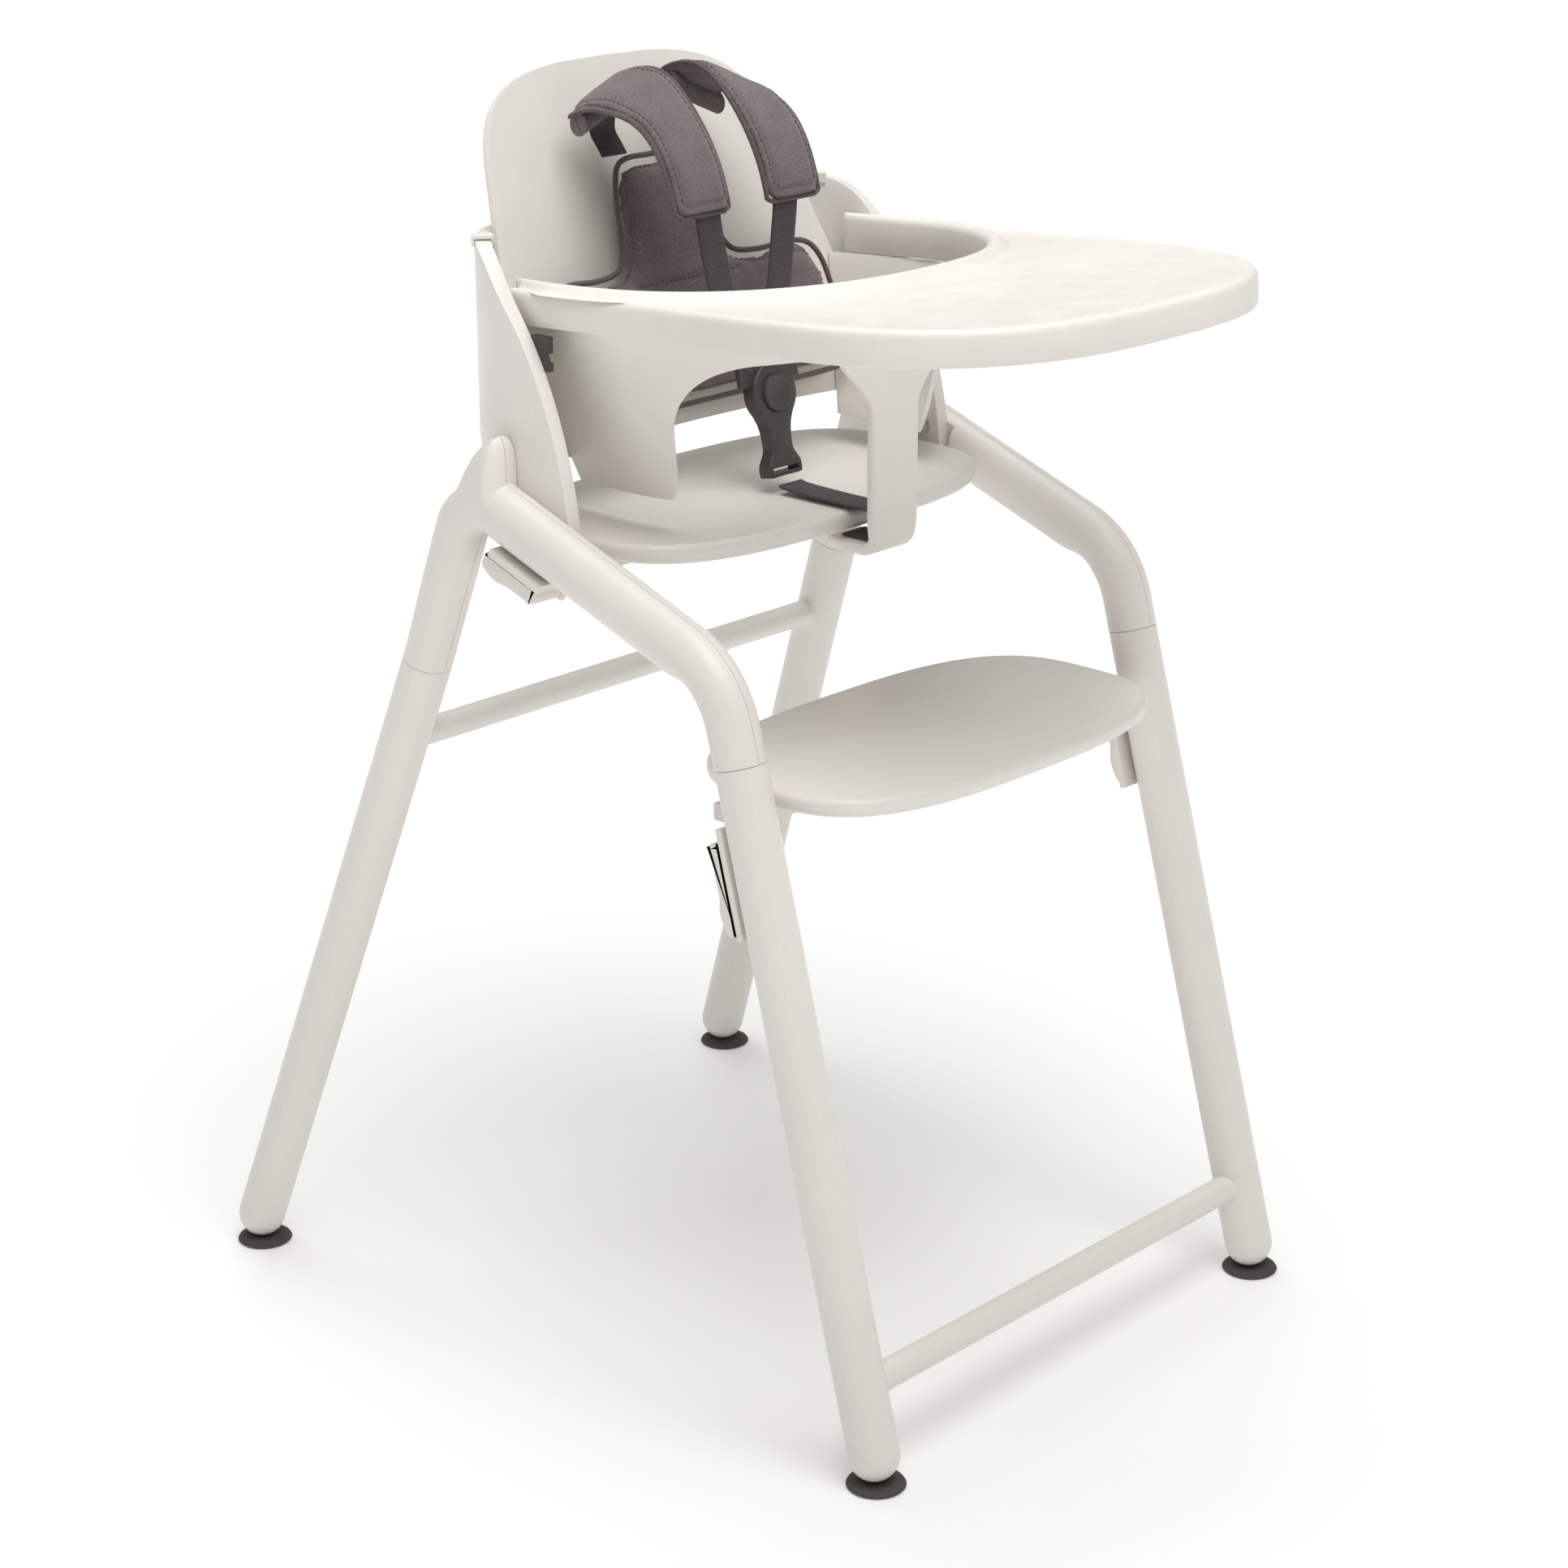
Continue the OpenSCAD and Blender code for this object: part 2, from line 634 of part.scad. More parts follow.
// Closed sheet between two grids of points
module sheet(front, back, rows, cols) {
    n = cols + 1;
    total = rows * n;
    faces = concat(
        [for (r = [0:rows - 2]) for (c = [0:cols - 1]) let (i = r * n + c) [i, i + n, i + n + 1, i + 1]],
        [for (r = [0:rows - 2]) for (c = [0:cols - 1]) let (i = total + r * n + c)
            [i, i + 1, i + n + 1, i + n]],
        [for (c = [0:cols - 1]) [c, c + 1, total + c + 1, total + c]],
        [for (c = [0:cols - 1]) let (i = (rows - 1) * n + c) [i + 1, i, total + i, total + i + 1]],
        [for (r = [0:rows - 2]) let (i = r * n) [i + n, i, total + i, total + i + n]],
        [for (r = [0:rows - 2]) let (i = r * n + cols) [i, i + n, total + i + n, total + i]]);
    polyhedron(concat(front, back), faces, convexity = 6);
}

module back_shell() {
    front = [for (z = shell_z) for (c = [0:shell_cols])
        let (x = shell_w(z) * (2 * c / shell_cols - 1)) [x, shell_face(x, z), z]];
    color(PLASTIC) sheet(front, [for (p = front) p + [0, wall, 0]], len(shell_z), shell_cols);
}

// Plan of the ring: one oval in front of ring_y, a longer one behind it
ring_y = 20;
ring_front = 116;
ring_rear = 173;
ring_power = 4;                 // of the rear oval
front_power = 2;                // of the front oval
ring_end_z = [632, 747];        // lowest and highest point of the ring's ends
ring_lean = 0.28;               // how much the ring narrows for each millimetre further down

function ring_w(z) = ring_half_w - ring_lean * (755 - z);
function ring_y_at(a, inset) =
    let (s = sin(a), d = (s < 0 ? ring_front : ring_rear) - inset)
    ring_y + d * sign(s) * pow(abs(s), 2 / (s < 0 ? front_power : ring_power));
function ring_x_at(a, inset, z) =
    (ring_w(z) - inset) * sign(cos(a)) * pow(abs(cos(a)), 2 / (sin(a) < 0 ? front_power : ring_power));

function tray_plane(y) = 777.8 - 0.056 * y;
ring_clear = tray_h + 1;
// Lower edge of the ring: low at the sides, then up round each leg hole
function ring_low(y) = mix(632, 664, smooth((-12 - y) / 12))
    + 66 * sqrt(1 - pow(1 - min(1, max(0, (-20 - y) / 50)), 2));
ring_cols = 72;
ring_rows = 4;

// Angle of the rear oval at which the ring meets the front face of the shell
function ring_end(z) =
    let (y = shell_face(ring_w(z) - 6, z) - 1 - ring_y) asin(pow(y / ring_rear, ring_power / 2));

module ring() {
    function grid(inset) = [for (r = [0:ring_rows]) for (c = [0:ring_cols])
        let (end = ring_end(mix(ring_end_z[0], ring_end_z[1], r / ring_rows)),
             a = mix(-180 - end, end, c / ring_cols), y = ring_y_at(a, inset),
             z = mix(ring_low(y), tray_plane(y) - ring_clear, r / ring_rows))
        [ring_x_at(a, inset, z), y, z]];
    color(PLASTIC) sheet(grid(0), grid(wall), ring_rows + 1, ring_cols);
}

post_face = -(ring_front - ring_y) - 0.3;
post_t = 8;
hook_r = 15;
hook_z = 598;

module crotch_post() {
    color(PLASTIC) {
        translate([-post_half_w, post_face - post_t, hook_z])
            cube([2 * post_half_w, post_t, 750 - hook_z]);
        translate([-post_half_w, post_face - post_t + hook_r, hook_z]) rotate([0, 90, 0])
            difference() {
                cylinder(r = hook_r, h = 2 * post_half_w);
                translate([0, 0, -1]) cylinder(r = hook_r - post_t, h = 2 * post_half_w + 2);
                translate([-40, -40, -1]) cube([40, 80, 2 * post_half_w + 2]);
                translate([-40, 0, -1]) cube([80, 40, 2 * post_half_w + 2]);
            }
        translate([-post_half_w, post_face - post_t + hook_r, hook_z - hook_r])
            cube([2 * post_half_w, 34, post_t]);
    }
}

// ---------- Harness ----------

recline_angle = atan(shell_recline);
pad_t = 13;

module back_pad() {
    color(FABRIC) translate([0, 119, 800]) rotate([-recline_angle, 0, 0]) {
        rotate([90, 0, 0]) translate([0, 0, -pad_t]) linear_extrude(pad_t) polygon(
            [[-57, -60], [-45, 12], [-34, 38], [34, 38], [45, 12], [57, -60]]);
        translate([-140, -8, -140]) cube([280, pad_t, 98]);
    }
}

shoulder_x = 47;
shoulder_half_w = 27;
shoulder_t = 14;
shoulder_path = bezier([[143, 883], [110, 906], [52, 886], [37, 812]], 16);

function unit(v) = v / norm(v);
function side_step(path, i) =
    let (d = path[min(i + 1, len(path) - 1)] - path[max(i - 1, 0)]) unit([-d[1], d[0]]);
function band(path, t) = concat(
    [for (i = [0:len(path) - 1]) path[i] + side_step(path, i) * t / 2],
    [for (i = [len(path) - 1:-1:0]) path[i] - side_step(path, i) * t / 2]);

module strap_band(path, t, width, x) {
    translate([x - width / 2, 0, 0]) rotate([90, 0, 90]) linear_extrude(width) polygon(band(path, t));
}

module shoulder_pad() {
    strap_band(shoulder_path, shoulder_t, 2 * shoulder_half_w, shoulder_x);
}

module shoulder_pad_right() { color(FABRIC) right_side() shoulder_pad(); }
module shoulder_pad_left() { color(FABRIC) shoulder_pad(); }

webbing_w = 25;
webbing_t = 2;

module shoulder_webbing() {
    color(WEBBING) both_sides() {
        strap_band([[138, 841], [143, 849], [147, 858], [144, 871]], webbing_t, webbing_w, shoulder_x - 13);
        hull() {
            translate([shoulder_x - 8 - webbing_w / 2, 36, 803]) cube([webbing_w, webbing_t, 1]);
            translate([20 - webbing_w / 2, 34, 716]) cube([webbing_w, webbing_t, 1]);
        }
    }
}

// Buckle frame: +Z points out of its face, +Y up along it
buckle_c = [0, 17, 680];
buckle_tilt = 79;
button_r = 13.5;
button_out = 3;
button_travel = 2.5;

module on_buckle() {
    translate(buckle_c) rotate([buckle_tilt, 0, 0]) children();
}

module buckle_body() {
    color(BLACK) on_buckle() difference() {
        union() {
            cylinder(r = 22, h = 12, center = true);
            translate([-10, -52, -5]) cube([20, 48, 9]);
            translate([-17, -60, -5]) cube([34, 12, 9]);
        }
        translate([0, 0, -3]) cylinder(r = button_r + 0.3, h = 12);
        translate([-13.5, -57, -8]) cube([27, 3.6, 16]);
        for (x = [-1, 1]) translate([x > 0 ? 15 : -31, 6, -2.4]) cube([16, 14, 4.8]);
    }
}

module buckle_tongues() {
    color(BLACK) on_buckle() for (x = [-1, 1]) difference() {
        translate([x > 0 ? 15.4 : -30.4, 6.4, -2]) cube([15, 32, 4]);
        translate([x > 0 ? 18 : -28, 30, -4]) cube([10, 4, 8]);
    }
}

module buckle_button() {
    color(BLACK) on_buckle() {
        translate([0, 0, 2]) cylinder(r = button_r, h = 4 + button_out);
    }
}

module button_spring() {
    color(STEEL) on_buckle() translate([0, 0, -2.9]) difference() {
        cylinder(r = 5, h = 4.6 - button_travel);
        translate([0, 0, -1]) cylinder(r = 3.6, h = 8);
    }
}

module crotch_strap() {
    y_loop = post_face + 6;
    path = [[-3, 616], [-50, 614], [y_loop + 5, 613.5], [y_loop + 1.2, 611.8], [y_loop, 607],
            [y_loop, 596.5], [y_loop + 2, 593.4], [y_loop + 7, 592.4], [y_loop + 26, 592.4]];
    color(WEBBING) strap_band(path, webbing_t, webbing_w, 0);
}

// ---------- Tray ----------

tray_angle = atan(0.056);
tray_power = 2.7;
tray_wide_y = -150;             // the front oval of the tray starts here
tray_rear_y = 92;
tray_rear_half = 184;
cut_y = 38;
cut_half_w = 166;
cut_depth = 160;
cut_power = 2.3;
deck_t = 5;

module tray_outline(inset) {
    front = [for (i = [0:36]) let (a = 180 + i * 5)
        [(tray_half_w - inset) * sign(cos(a)) * pow(abs(cos(a)), 2 / tray_power),
         tray_wide_y - (tray_front + tray_wide_y - inset) * pow(abs(sin(a)), 2 / tray_power)]];
    polygon(concat(front, [
        [tray_rear_half - inset, 0], [tray_rear_half - inset, tray_rear_y - 10],
        [tray_rear_half - 6, tray_rear_y - inset], [-tray_rear_half + 6, tray_rear_y - inset],
        [-tray_rear_half + inset, tray_rear_y - 10], [-tray_rear_half + inset, 0]]));
}

module tray_cutout(grow) {
    front = [for (i = [0:24]) let (a = 180 + i * 7.5)
        [(cut_half_w + grow) * sign(cos(a)) * pow(abs(cos(a)), 2 / cut_power),
         cut_y - (cut_depth + grow) * pow(abs(sin(a)), 2 / cut_power)]];
    polygon(concat(front, [[cut_half_w - 4 + grow, 140], [-cut_half_w + 4 - grow, 140]]));
}

module on_tray() {
    translate([0, 0, tray_plane(0)]) rotate([-tray_angle, 0, 0]) children();
}

skirt_t = 3;
lip_w = 7;
lip_h = 4;

module tray_top() {
    color(PLASTIC) on_tray() {
        translate([0, 0, -deck_t]) linear_extrude(deck_t) difference() {
            tray_outline(0);
            tray_cutout(0);
        }
        translate([0, 0, -tray_h]) linear_extrude(tray_h - 1) difference() {
            tray_outline(0);
            tray_outline(skirt_t);
            tray_cutout(0);
        }
        translate([0, 0, -tray_h]) linear_extrude(tray_h + lip_h) intersection() {
            difference() {
                tray_cutout(lip_w);
                tray_cutout(0);
            }
            tray_outline(1);
        }
    }
}

under_t = 3;

module tray_underside() {
    color(PLASTIC) on_tray() translate([0, 0, -tray_h + 0.5]) linear_extrude(under_t) difference() {
        tray_outline(skirt_t + 0.2);
        tray_cutout(lip_w + 0.2);
        translate([-22, -190]) square([44, 30]);
    }
    color(PLASTIC) on_tray() both_sides() translate([22, latch_pin_y - 5, -tray_h + 0.5]) difference() {
        cube([6, 10, 13]);
        translate([-1, 5, 7.5]) rotate([0, 90, 0]) cylinder(d = 4, h = 8);
    }
}

latch_pin_y = -164;
latch_z = -tray_h + 8;          // height of the latch pin above the bottom of the skirt

module tray_latch() {
    color(PLASTIC) on_tray() translate([0, latch_pin_y, latch_z]) difference() {
        union() {
            translate([-20, -24, -3]) cube([40, 27, 5]);
            rotate([0, 90, 0]) cylinder(d = 9, h = 40, center = true);
            translate([-18, -23, -8]) cube([36, 3, 7]);
        }
        rotate([0, 90, 0]) cylinder(d = 4.1, h = 60, center = true);
    }
}

module tray_latch_pin() {
    color(STEEL) on_tray() translate([0, latch_pin_y, latch_z]) rotate([0, 90, 0])
        cylinder(d = 4, h = 54, center = true);
}

foot_glides();
front_leg_right();
front_leg_left();
rear_leg_right();
rear_leg_left();
front_crossbar();
rear_crossbar();
outer_casting_right();
outer_casting_left();
inner_casting_right();
inner_casting_left();
leg_dowels();
casting_screws();
seat_rails();
footrest_rails();
back_panel();
panel_bolts();
ring_clips();
panel_hooks();
seat_board();
seat_beam();
seat_carrier_right();
seat_carrier_left();
seat_screws();
seat_lever_right();
seat_lever_left();
seat_lever_pins();
footrest_board();
footrest_carrier_right();
footrest_carrier_left();
footrest_screws();
footrest_lever_right();
footrest_lever_left();
footrest_lever_pins();
back_shell();
ring();
crotch_post();
back_pad();
shoulder_pad_right();
shoulder_pad_left();
shoulder_webbing();
buckle_body();
buckle_tongues();
crotch_strap();
buckle_button();
button_spring();
tray_top();
tray_underside();
tray_latch();
tray_latch_pin();
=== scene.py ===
"""Looks of a wooden baby high chair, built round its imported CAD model.

Everything is in metres in the model's own frame: the origin is the middle of the footprint on
the floor, +Z is up, the child faces -Y, the child's right is -X.
"""

import json
import logging
import math
from dataclasses import dataclass
from enum import Enum
from typing import Callable, Iterable, Sequence

import bmesh
import bpy
from mathutils import Matrix, Vector
from mathutils.bvhtree import BVHTree


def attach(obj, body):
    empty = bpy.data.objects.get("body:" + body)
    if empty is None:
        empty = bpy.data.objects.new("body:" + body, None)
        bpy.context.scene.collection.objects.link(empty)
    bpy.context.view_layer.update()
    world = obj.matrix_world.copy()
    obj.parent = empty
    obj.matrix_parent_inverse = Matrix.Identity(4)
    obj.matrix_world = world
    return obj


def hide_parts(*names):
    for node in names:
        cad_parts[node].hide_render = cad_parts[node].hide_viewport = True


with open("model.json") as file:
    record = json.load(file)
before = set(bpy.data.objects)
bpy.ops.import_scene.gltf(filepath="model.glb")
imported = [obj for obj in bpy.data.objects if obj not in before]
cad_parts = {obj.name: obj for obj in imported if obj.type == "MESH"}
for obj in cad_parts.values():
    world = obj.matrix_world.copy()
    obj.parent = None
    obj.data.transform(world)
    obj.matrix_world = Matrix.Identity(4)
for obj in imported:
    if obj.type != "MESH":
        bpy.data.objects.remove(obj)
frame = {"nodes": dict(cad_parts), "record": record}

log = logging.getLogger("high_chair")

Ring = list[Vector]
Pair = tuple[float, float]
Colour = tuple[float, float, float]


class Body(str, Enum):
    """Moving bodies of the chair that pieces ride on."""

    FRAME = "frame"
    SEAT = "seat"
    SEAT_LEVER_R = "seat_lever_r"
    SEAT_LEVER_L = "seat_lever_l"
    FOOTREST = "footrest"
    FOOTREST_LEVER_R = "footrest_lever_r"
    FOOTREST_LEVER_L = "footrest_lever_l"
    BABY_SET = "baby_set"
    BUTTON = "button"
    TRAY = "tray"


class Side(Enum):
    """The two sides of the chair, with the sign of X."""

    RIGHT = -1
    LEFT = 1

    @property
    def word(self) -> str:
        """Word that node names end with."""
        return self.name.lower()


# ---------------------------------------------------------------- curves


def smooth(t: float) -> float:
    """Smooth step from 0 to 1 of a value clamped to that range."""
    u = min(1.0, max(0.0, t))
    return u * u * (3 - 2 * u)


def mix(a: float, b: float, t: float) -> float:
    """Value between a and b."""
    return a + (b - a) * t


def power_curve(angle: float, power: float) -> Pair:
    """Point of a unit superellipse.

    Args:
        angle: Angle in radians.
        power: 2 gives a circle, more gives squarer corners.

    Returns:
        The two coordinates.
    """
    c, s = math.cos(angle), math.sin(angle)
    return (
        math.copysign(abs(c) ** (2 / power), c),
        math.copysign(abs(s) ** (2 / power), s),
    )


def bezier(p: Sequence[Pair], steps: int) -> list[Pair]:
    """Points along a cubic Bezier curve in a plane.

    Args:
        p: The four control points.
        steps: Number of steps.

    Returns:
        steps + 1 points.
    """
    points = []
    for i in range(steps + 1):
        t = i / steps
        w = ((1 - t) ** 3, 3 * (1 - t) ** 2 * t, 3 * (1 - t) * t * t, t**3)
        points.append(tuple(sum(k * q[axis] for k, q in zip(w, p)) for axis in (0, 1)))
    return points


def spline(points: Sequence[Sequence[float]], steps: int, closed: bool = False) -> list[Vector]:
    """Catmull-Rom curve through a few points.

    Args:
        points: Points in the plane or in space.
        steps: Steps between two neighbouring points.
        closed: Whether the last point joins the first.

    Returns:
        The points of the curve.
    """
    given = [Vector(p) for p in points]
    n = len(given)
    spans = n if closed else n - 1

    def at(k: int) -> Vector:
        """Given point number k, wrapped or clamped."""
        return given[k % n] if closed else given[min(n - 1, max(0, k))]

    out = []
    for i in range(spans):
        a, b, c, d = (at(i + k) for k in (-1, 0, 1, 2))
        for j in range(steps):
            t = j / steps
            out.append(0.5 * (2 * b + (c - a) * t + (2 * a - 5 * b + 4 * c - d) * t * t
                              + (3 * b - a - 3 * c + d) * t**3))
    if not closed:
        out.append(given[-1].copy())
    return out


def evenly(points: Sequence[Vector], count: int, closed: bool = False) -> list[Vector]:
    """The same curve with evenly spaced points.

    Args:
        points: Points of the curve.
        count: Number of points wanted.
        closed: Whether the last point joins the first.

    Returns:
        count points.
    """
    line = list(points) + ([points[0]] if closed else [])
    reach = [0.0]
    for a, b in zip(line, line[1:]):
        reach.append(reach[-1] + (b - a).length)
    out, k = [], 0
    for i in range(count):
        want = reach[-1] * i / (count if closed else count - 1)
        while k < len(line) - 2 and reach[k + 1] < want:
            k += 1
        span = reach[k + 1] - reach[k]
        out.append(line[k].lerp(line[k + 1], (want - reach[k]) / span if span else 0.0))
    return out


def inset(outline: Sequence[Vector], depth: float, closed: bool = True) -> list[Vector]:
    """Plane outline moved to its left side, which is the inside of an anticlockwise one.

    Args:
        outline: Points with x and y; other coordinates are kept.
        depth: Distance to move.
        closed: Whether the last point joins the first.

    Returns:
        The moved points.
    """
    n = len(outline)
    out = []
    for i, p in enumerate(outline):
        before = outline[(i - 1) % n if closed else max(0, i - 1)]
        after = outline[(i + 1) % n if closed else min(n - 1, i + 1)]
        d = (after - before).normalized()
        q = p.copy()
        q.x -= d.y * depth
        q.y += d.x * depth
        out.append(q)
    return out


# ---------------------------------------------------------------- meshes


def new_object(name: str, verts: Iterable[Vector], faces: Iterable[Sequence[int]],
               sharp: float = 35.0) -> bpy.types.Object:
    """Mesh object with smooth faces and consistent outward normals.

    Args:
        name: Object name.
        verts: Corner places.
        faces: Corner numbers of each face.
        sharp: Edges over this angle in degrees stay sharp.

    Returns:
        The linked object.
    """
    mesh = bpy.data.meshes.new(name)
    mesh.from_pydata([tuple(v) for v in verts], [], [tuple(f) for f in faces])
    tidy_mesh(mesh)
    mesh.shade_smooth()
    mesh.set_sharp_from_angle(angle=math.radians(sharp))
    piece = bpy.data.objects.new(name, mesh)
    bpy.context.scene.collection.objects.link(piece)
    return piece


def tidy_mesh(mesh: bpy.types.Mesh) -> None:
    """Merges doubled corners and turns all normals outward."""
    bm = bmesh.new()
    bm.from_mesh(mesh)
    bmesh.ops.remove_doubles(bm, verts=bm.verts, dist=1e-6)
    bmesh.ops.recalc_face_normals(bm, faces=bm.faces)
    bm.to_mesh(mesh)
    bm.free()


def loft(name: str, rings: Sequence[Ring], closed: bool = False, sharp: float = 35.0) -> bpy.types.Object:
    """Skin over closed rings of equal length, with flat caps unless the rings run round.

    Args:
        name: Object name.
        rings: Closed rings of points.
        closed: Whether the last ring joins the first.
        sharp: Edges over this angle in degrees stay sharp.

    Returns:
        The linked object.
    """
    n, m = len(rings[0]), len(rings)
    faces: list[Sequence[int]] = []
    for j in range(m if closed else m - 1):
        k = (j + 1) % m
        for i in range(n):
            faces.append((j * n + i, j * n + (i + 1) % n, k * n + (i + 1) % n, k * n + i))
    if not closed:
        faces += [list(range(n)), list(range((m - 1) * n, m * n))]
    return new_object(name, [v for ring in rings for v in ring], faces, sharp)


def grid(name: str, rows: Sequence[Ring], sharp: float = 35.0) -> bpy.types.Object:
    """Open sheet over rows of points of equal length."""
    n = len(rows[0])
    faces = [(j * n + i, j * n + i + 1, (j + 1) * n + i + 1, (j + 1) * n + i)
             for j in range(len(rows) - 1) for i in range(n - 1)]
    return new_object(name, [v for row in rows for v in row], faces, sharp)


def frames_along(path: Sequence[Vector], up: Vector, closed: bool = False) -> list[tuple[Vector, Vector]]:
    """Two unit vectors across a path at each of its points.

    Args:
        path: Points of the path.
        up: Wanted direction of the second vector.
        closed: Whether the last point joins the first.

    Returns:
        Pairs of (sideways, upward) vectors.
    """
    n = len(path)
    out = []
    for i in range(n):
        before = path[(i - 1) % n if closed else max(0, i - 1)]
        after = path[(i + 1) % n if closed else min(n - 1, i + 1)]
        along = (after - before).normalized()
        across = along.cross(up)
        if across.length < 1e-6:
            across = along.orthogonal()
        across.normalize()
        out.append((across, across.cross(along).normalized()))
    return out


def tube(name: str, path: Sequence[Vector], radius: float, closed: bool = False,
         sides: int = 10, up: Vector = Vector((0, 1, 0.01))) -> bpy.types.Object:
    """Round cord along a path.

    Args:
        name: Object name.
        path: Points of the path.
        radius: Radius of the cord.
        closed: Whether the last point joins the first.
        sides: Sides of the round section.
        up: Direction that the sections are lined up with.

    Returns:
        The linked object.
    """
    rings = []
    for p, (a, b) in zip(path, frames_along(path, up, closed)):
        rings.append([p + radius * (a * math.cos(2 * math.pi * k / sides)
                                    + b * math.sin(2 * math.pi * k / sides)) for k in range(sides)])
    return loft(name, rings, closed, 60)


def strap(name: str, path: Sequence[Vector], widths: Sequence[Vector], width: float,
          thick: float) -> bpy.types.Object:
    """Flat webbing with rounded selvedges along a path.

    Args:
        name: Object name.
        path: Points along the middle of the strap.
        widths: Unit vector across the strap at each point.
        width: Strap width.
        thick: Strap thickness.

    Returns:
        The linked object, with an attribute "weave" that holds the place across and along it.
    """
    half, edge = width / 2, thick / 2
    section = [(-half, 0.0), (-half + edge * 0.4, edge * 0.8), (-half + edge * 1.5, edge), (-half / 2, edge),
               (0, edge), (half / 2, edge), (half - edge * 1.5, edge), (half - edge * 0.4, edge * 0.8),
               (half, 0.0)]
    section += [(x, -z) for x, z in section[-2:0:-1]]
    rings, along, reach = [], [], 0.0
    for i, p in enumerate(path):
        ahead = (path[min(i + 1, len(path) - 1)] - path[max(i - 1, 0)]).normalized()
        across = widths[i].normalized()
        out = ahead.cross(across).normalized()
        reach += (p - path[i - 1]).length if i else 0.0
        rings.append([p + across * x + out * z for x, z in section])
        along += [(x, reach, z) for x, z in section]
    piece = loft(name, rings, False, 60)
    weave = piece.data.attributes.new("weave", "FLOAT_VECTOR", "POINT")
    weave.data.foreach_set("vector", [c for v in along for c in v])
    return piece


def plate(name: str, outline: Sequence[Vector], z0: float, z1: float, edge: float,
          place: Matrix = Matrix.Identity(4), steps: int = 4) -> bpy.types.Object:
    """Flat plate with rounded edges.

    Args:
        name: Object name.
        outline: Anticlockwise plane outline.
        z0: Lower face.
        z1: Upper face.
        edge: Radius of the rounded edges.
        place: Matrix that moves the finished plate.
        steps: Steps of each rounded edge.

    Returns:
        The linked object.
    """
    flat = [Vector((p[0], p[1], 0)) for p in outline]
    profile = []
    for k in range(steps + 1):
        a = math.pi / 2 * k / steps
        profile.append((edge * (1 - math.sin(a)), z0 + edge * (1 - math.cos(a))))
    profile += [(d, z0 + z1 - z) for d, z in reversed(profile)]
    rings = []
    for d, z in profile:
        rings.append([place @ Vector((p.x, p.y, z)) for p in inset(flat, d)])
    return loft(name, rings, False, 50)


def lathe(name: str, profile: Sequence[Pair], place: Matrix, sides: int = 64) -> bpy.types.Object:
    """Turned piece about local Z.

    Args:
        name: Object name.
        profile: (radius, height) pairs from bottom to top.
        place: Matrix that moves the finished piece.
        sides: Number of sides.

    Returns:
        The linked object.
    """
    turns = [2 * math.pi * k / sides for k in range(sides)]
    rings = [[place @ Vector((r * math.cos(a), r * math.sin(a), z)) for a in turns] for r, z in profile]
    return loft(name, rings, False, 35)


def between(a: Vector, b: Vector) -> Matrix:
    """Matrix that takes the origin to a and +Z towards b."""
    return Matrix.Translation(a) @ (b - a).to_track_quat("Z", "Y").to_matrix().to_4x4()


def mirrored(piece: bpy.types.Object) -> bpy.types.Object:
    """The same piece, moved to the other side of the middle plane."""
    piece.data.transform(Matrix.Scale(-1, 4, (1, 0, 0)))
    piece.data.flip_normals()
    return piece


def on_side(piece: bpy.types.Object, side: Side) -> bpy.types.Object:
    """A piece that was built for the left, on the side it is for."""
    return mirrored(piece) if side is Side.RIGHT else piece


def evaluated(piece: bpy.types.Object) -> None:
    """Applies all modifiers of a piece."""
    graph = bpy.context.evaluated_depsgraph_get()
    mesh = bpy.data.meshes.new_from_object(piece.evaluated_get(graph))
    piece.modifiers.clear()
    old = piece.data
    piece.data = mesh
    mesh.name = piece.name
    bpy.data.meshes.remove(old)


def thickened(piece: bpy.types.Object, thick: float, edge: float, offset: float = -1.0,
              steps: int = 3) -> bpy.types.Object:
    """Gives an open sheet its wall and rounded rims.

    Args:
        piece: Open sheet.
        thick: Wall thickness.
        edge: Radius of the rims.
        offset: -1 grows the wall behind the sheet, 1 in front, 0 both ways.
        steps: Steps of each rounded rim.

    Returns:
        The same object.
    """
    wall = piece.modifiers.new("wall", "SOLIDIFY")
    wall.thickness = thick
    wall.offset = offset
    wall.use_even_offset = True
    bevel = piece.modifiers.new("rim", "BEVEL")
    bevel.width = edge
    bevel.segments = steps
    bevel.limit_method = "ANGLE"
    bevel.angle_limit = math.radians(50)
    evaluated(piece)
    piece.data.shade_smooth()
    piece.data.set_sharp_from_angle(angle=math.radians(50))
    return piece


def cut(piece: bpy.types.Object, cutter: bpy.types.Object) -> bpy.types.Object:
    """Takes one solid out of another and deletes the cutter."""
    knife = piece.modifiers.new("cut", "BOOLEAN")
    knife.object = cutter
    knife.solver = "EXACT"
    evaluated(piece)
    bpy.data.objects.remove(cutter)
    return piece


def join(name: str, pieces: Sequence[bpy.types.Object]) -> bpy.types.Object:
    """Joins meshes into one new object.

    Args:
        name: Object name.
        pieces: Objects to join, which are removed.

    Returns:
        The joined object.
    """
    bm = bmesh.new()
    for p in pieces:
        bm.from_mesh(p.data)
    mesh = bpy.data.meshes.new(name)
    bm.to_mesh(mesh)
    bm.free()
    mesh.shade_smooth()
    mesh.set_sharp_from_angle(angle=math.radians(50))
    for p in pieces:
        bpy.data.objects.remove(p)
    out = bpy.data.objects.new(name, mesh)
    bpy.context.scene.collection.objects.link(out)
    return out


# ---------------------------------------------------------------- finishes


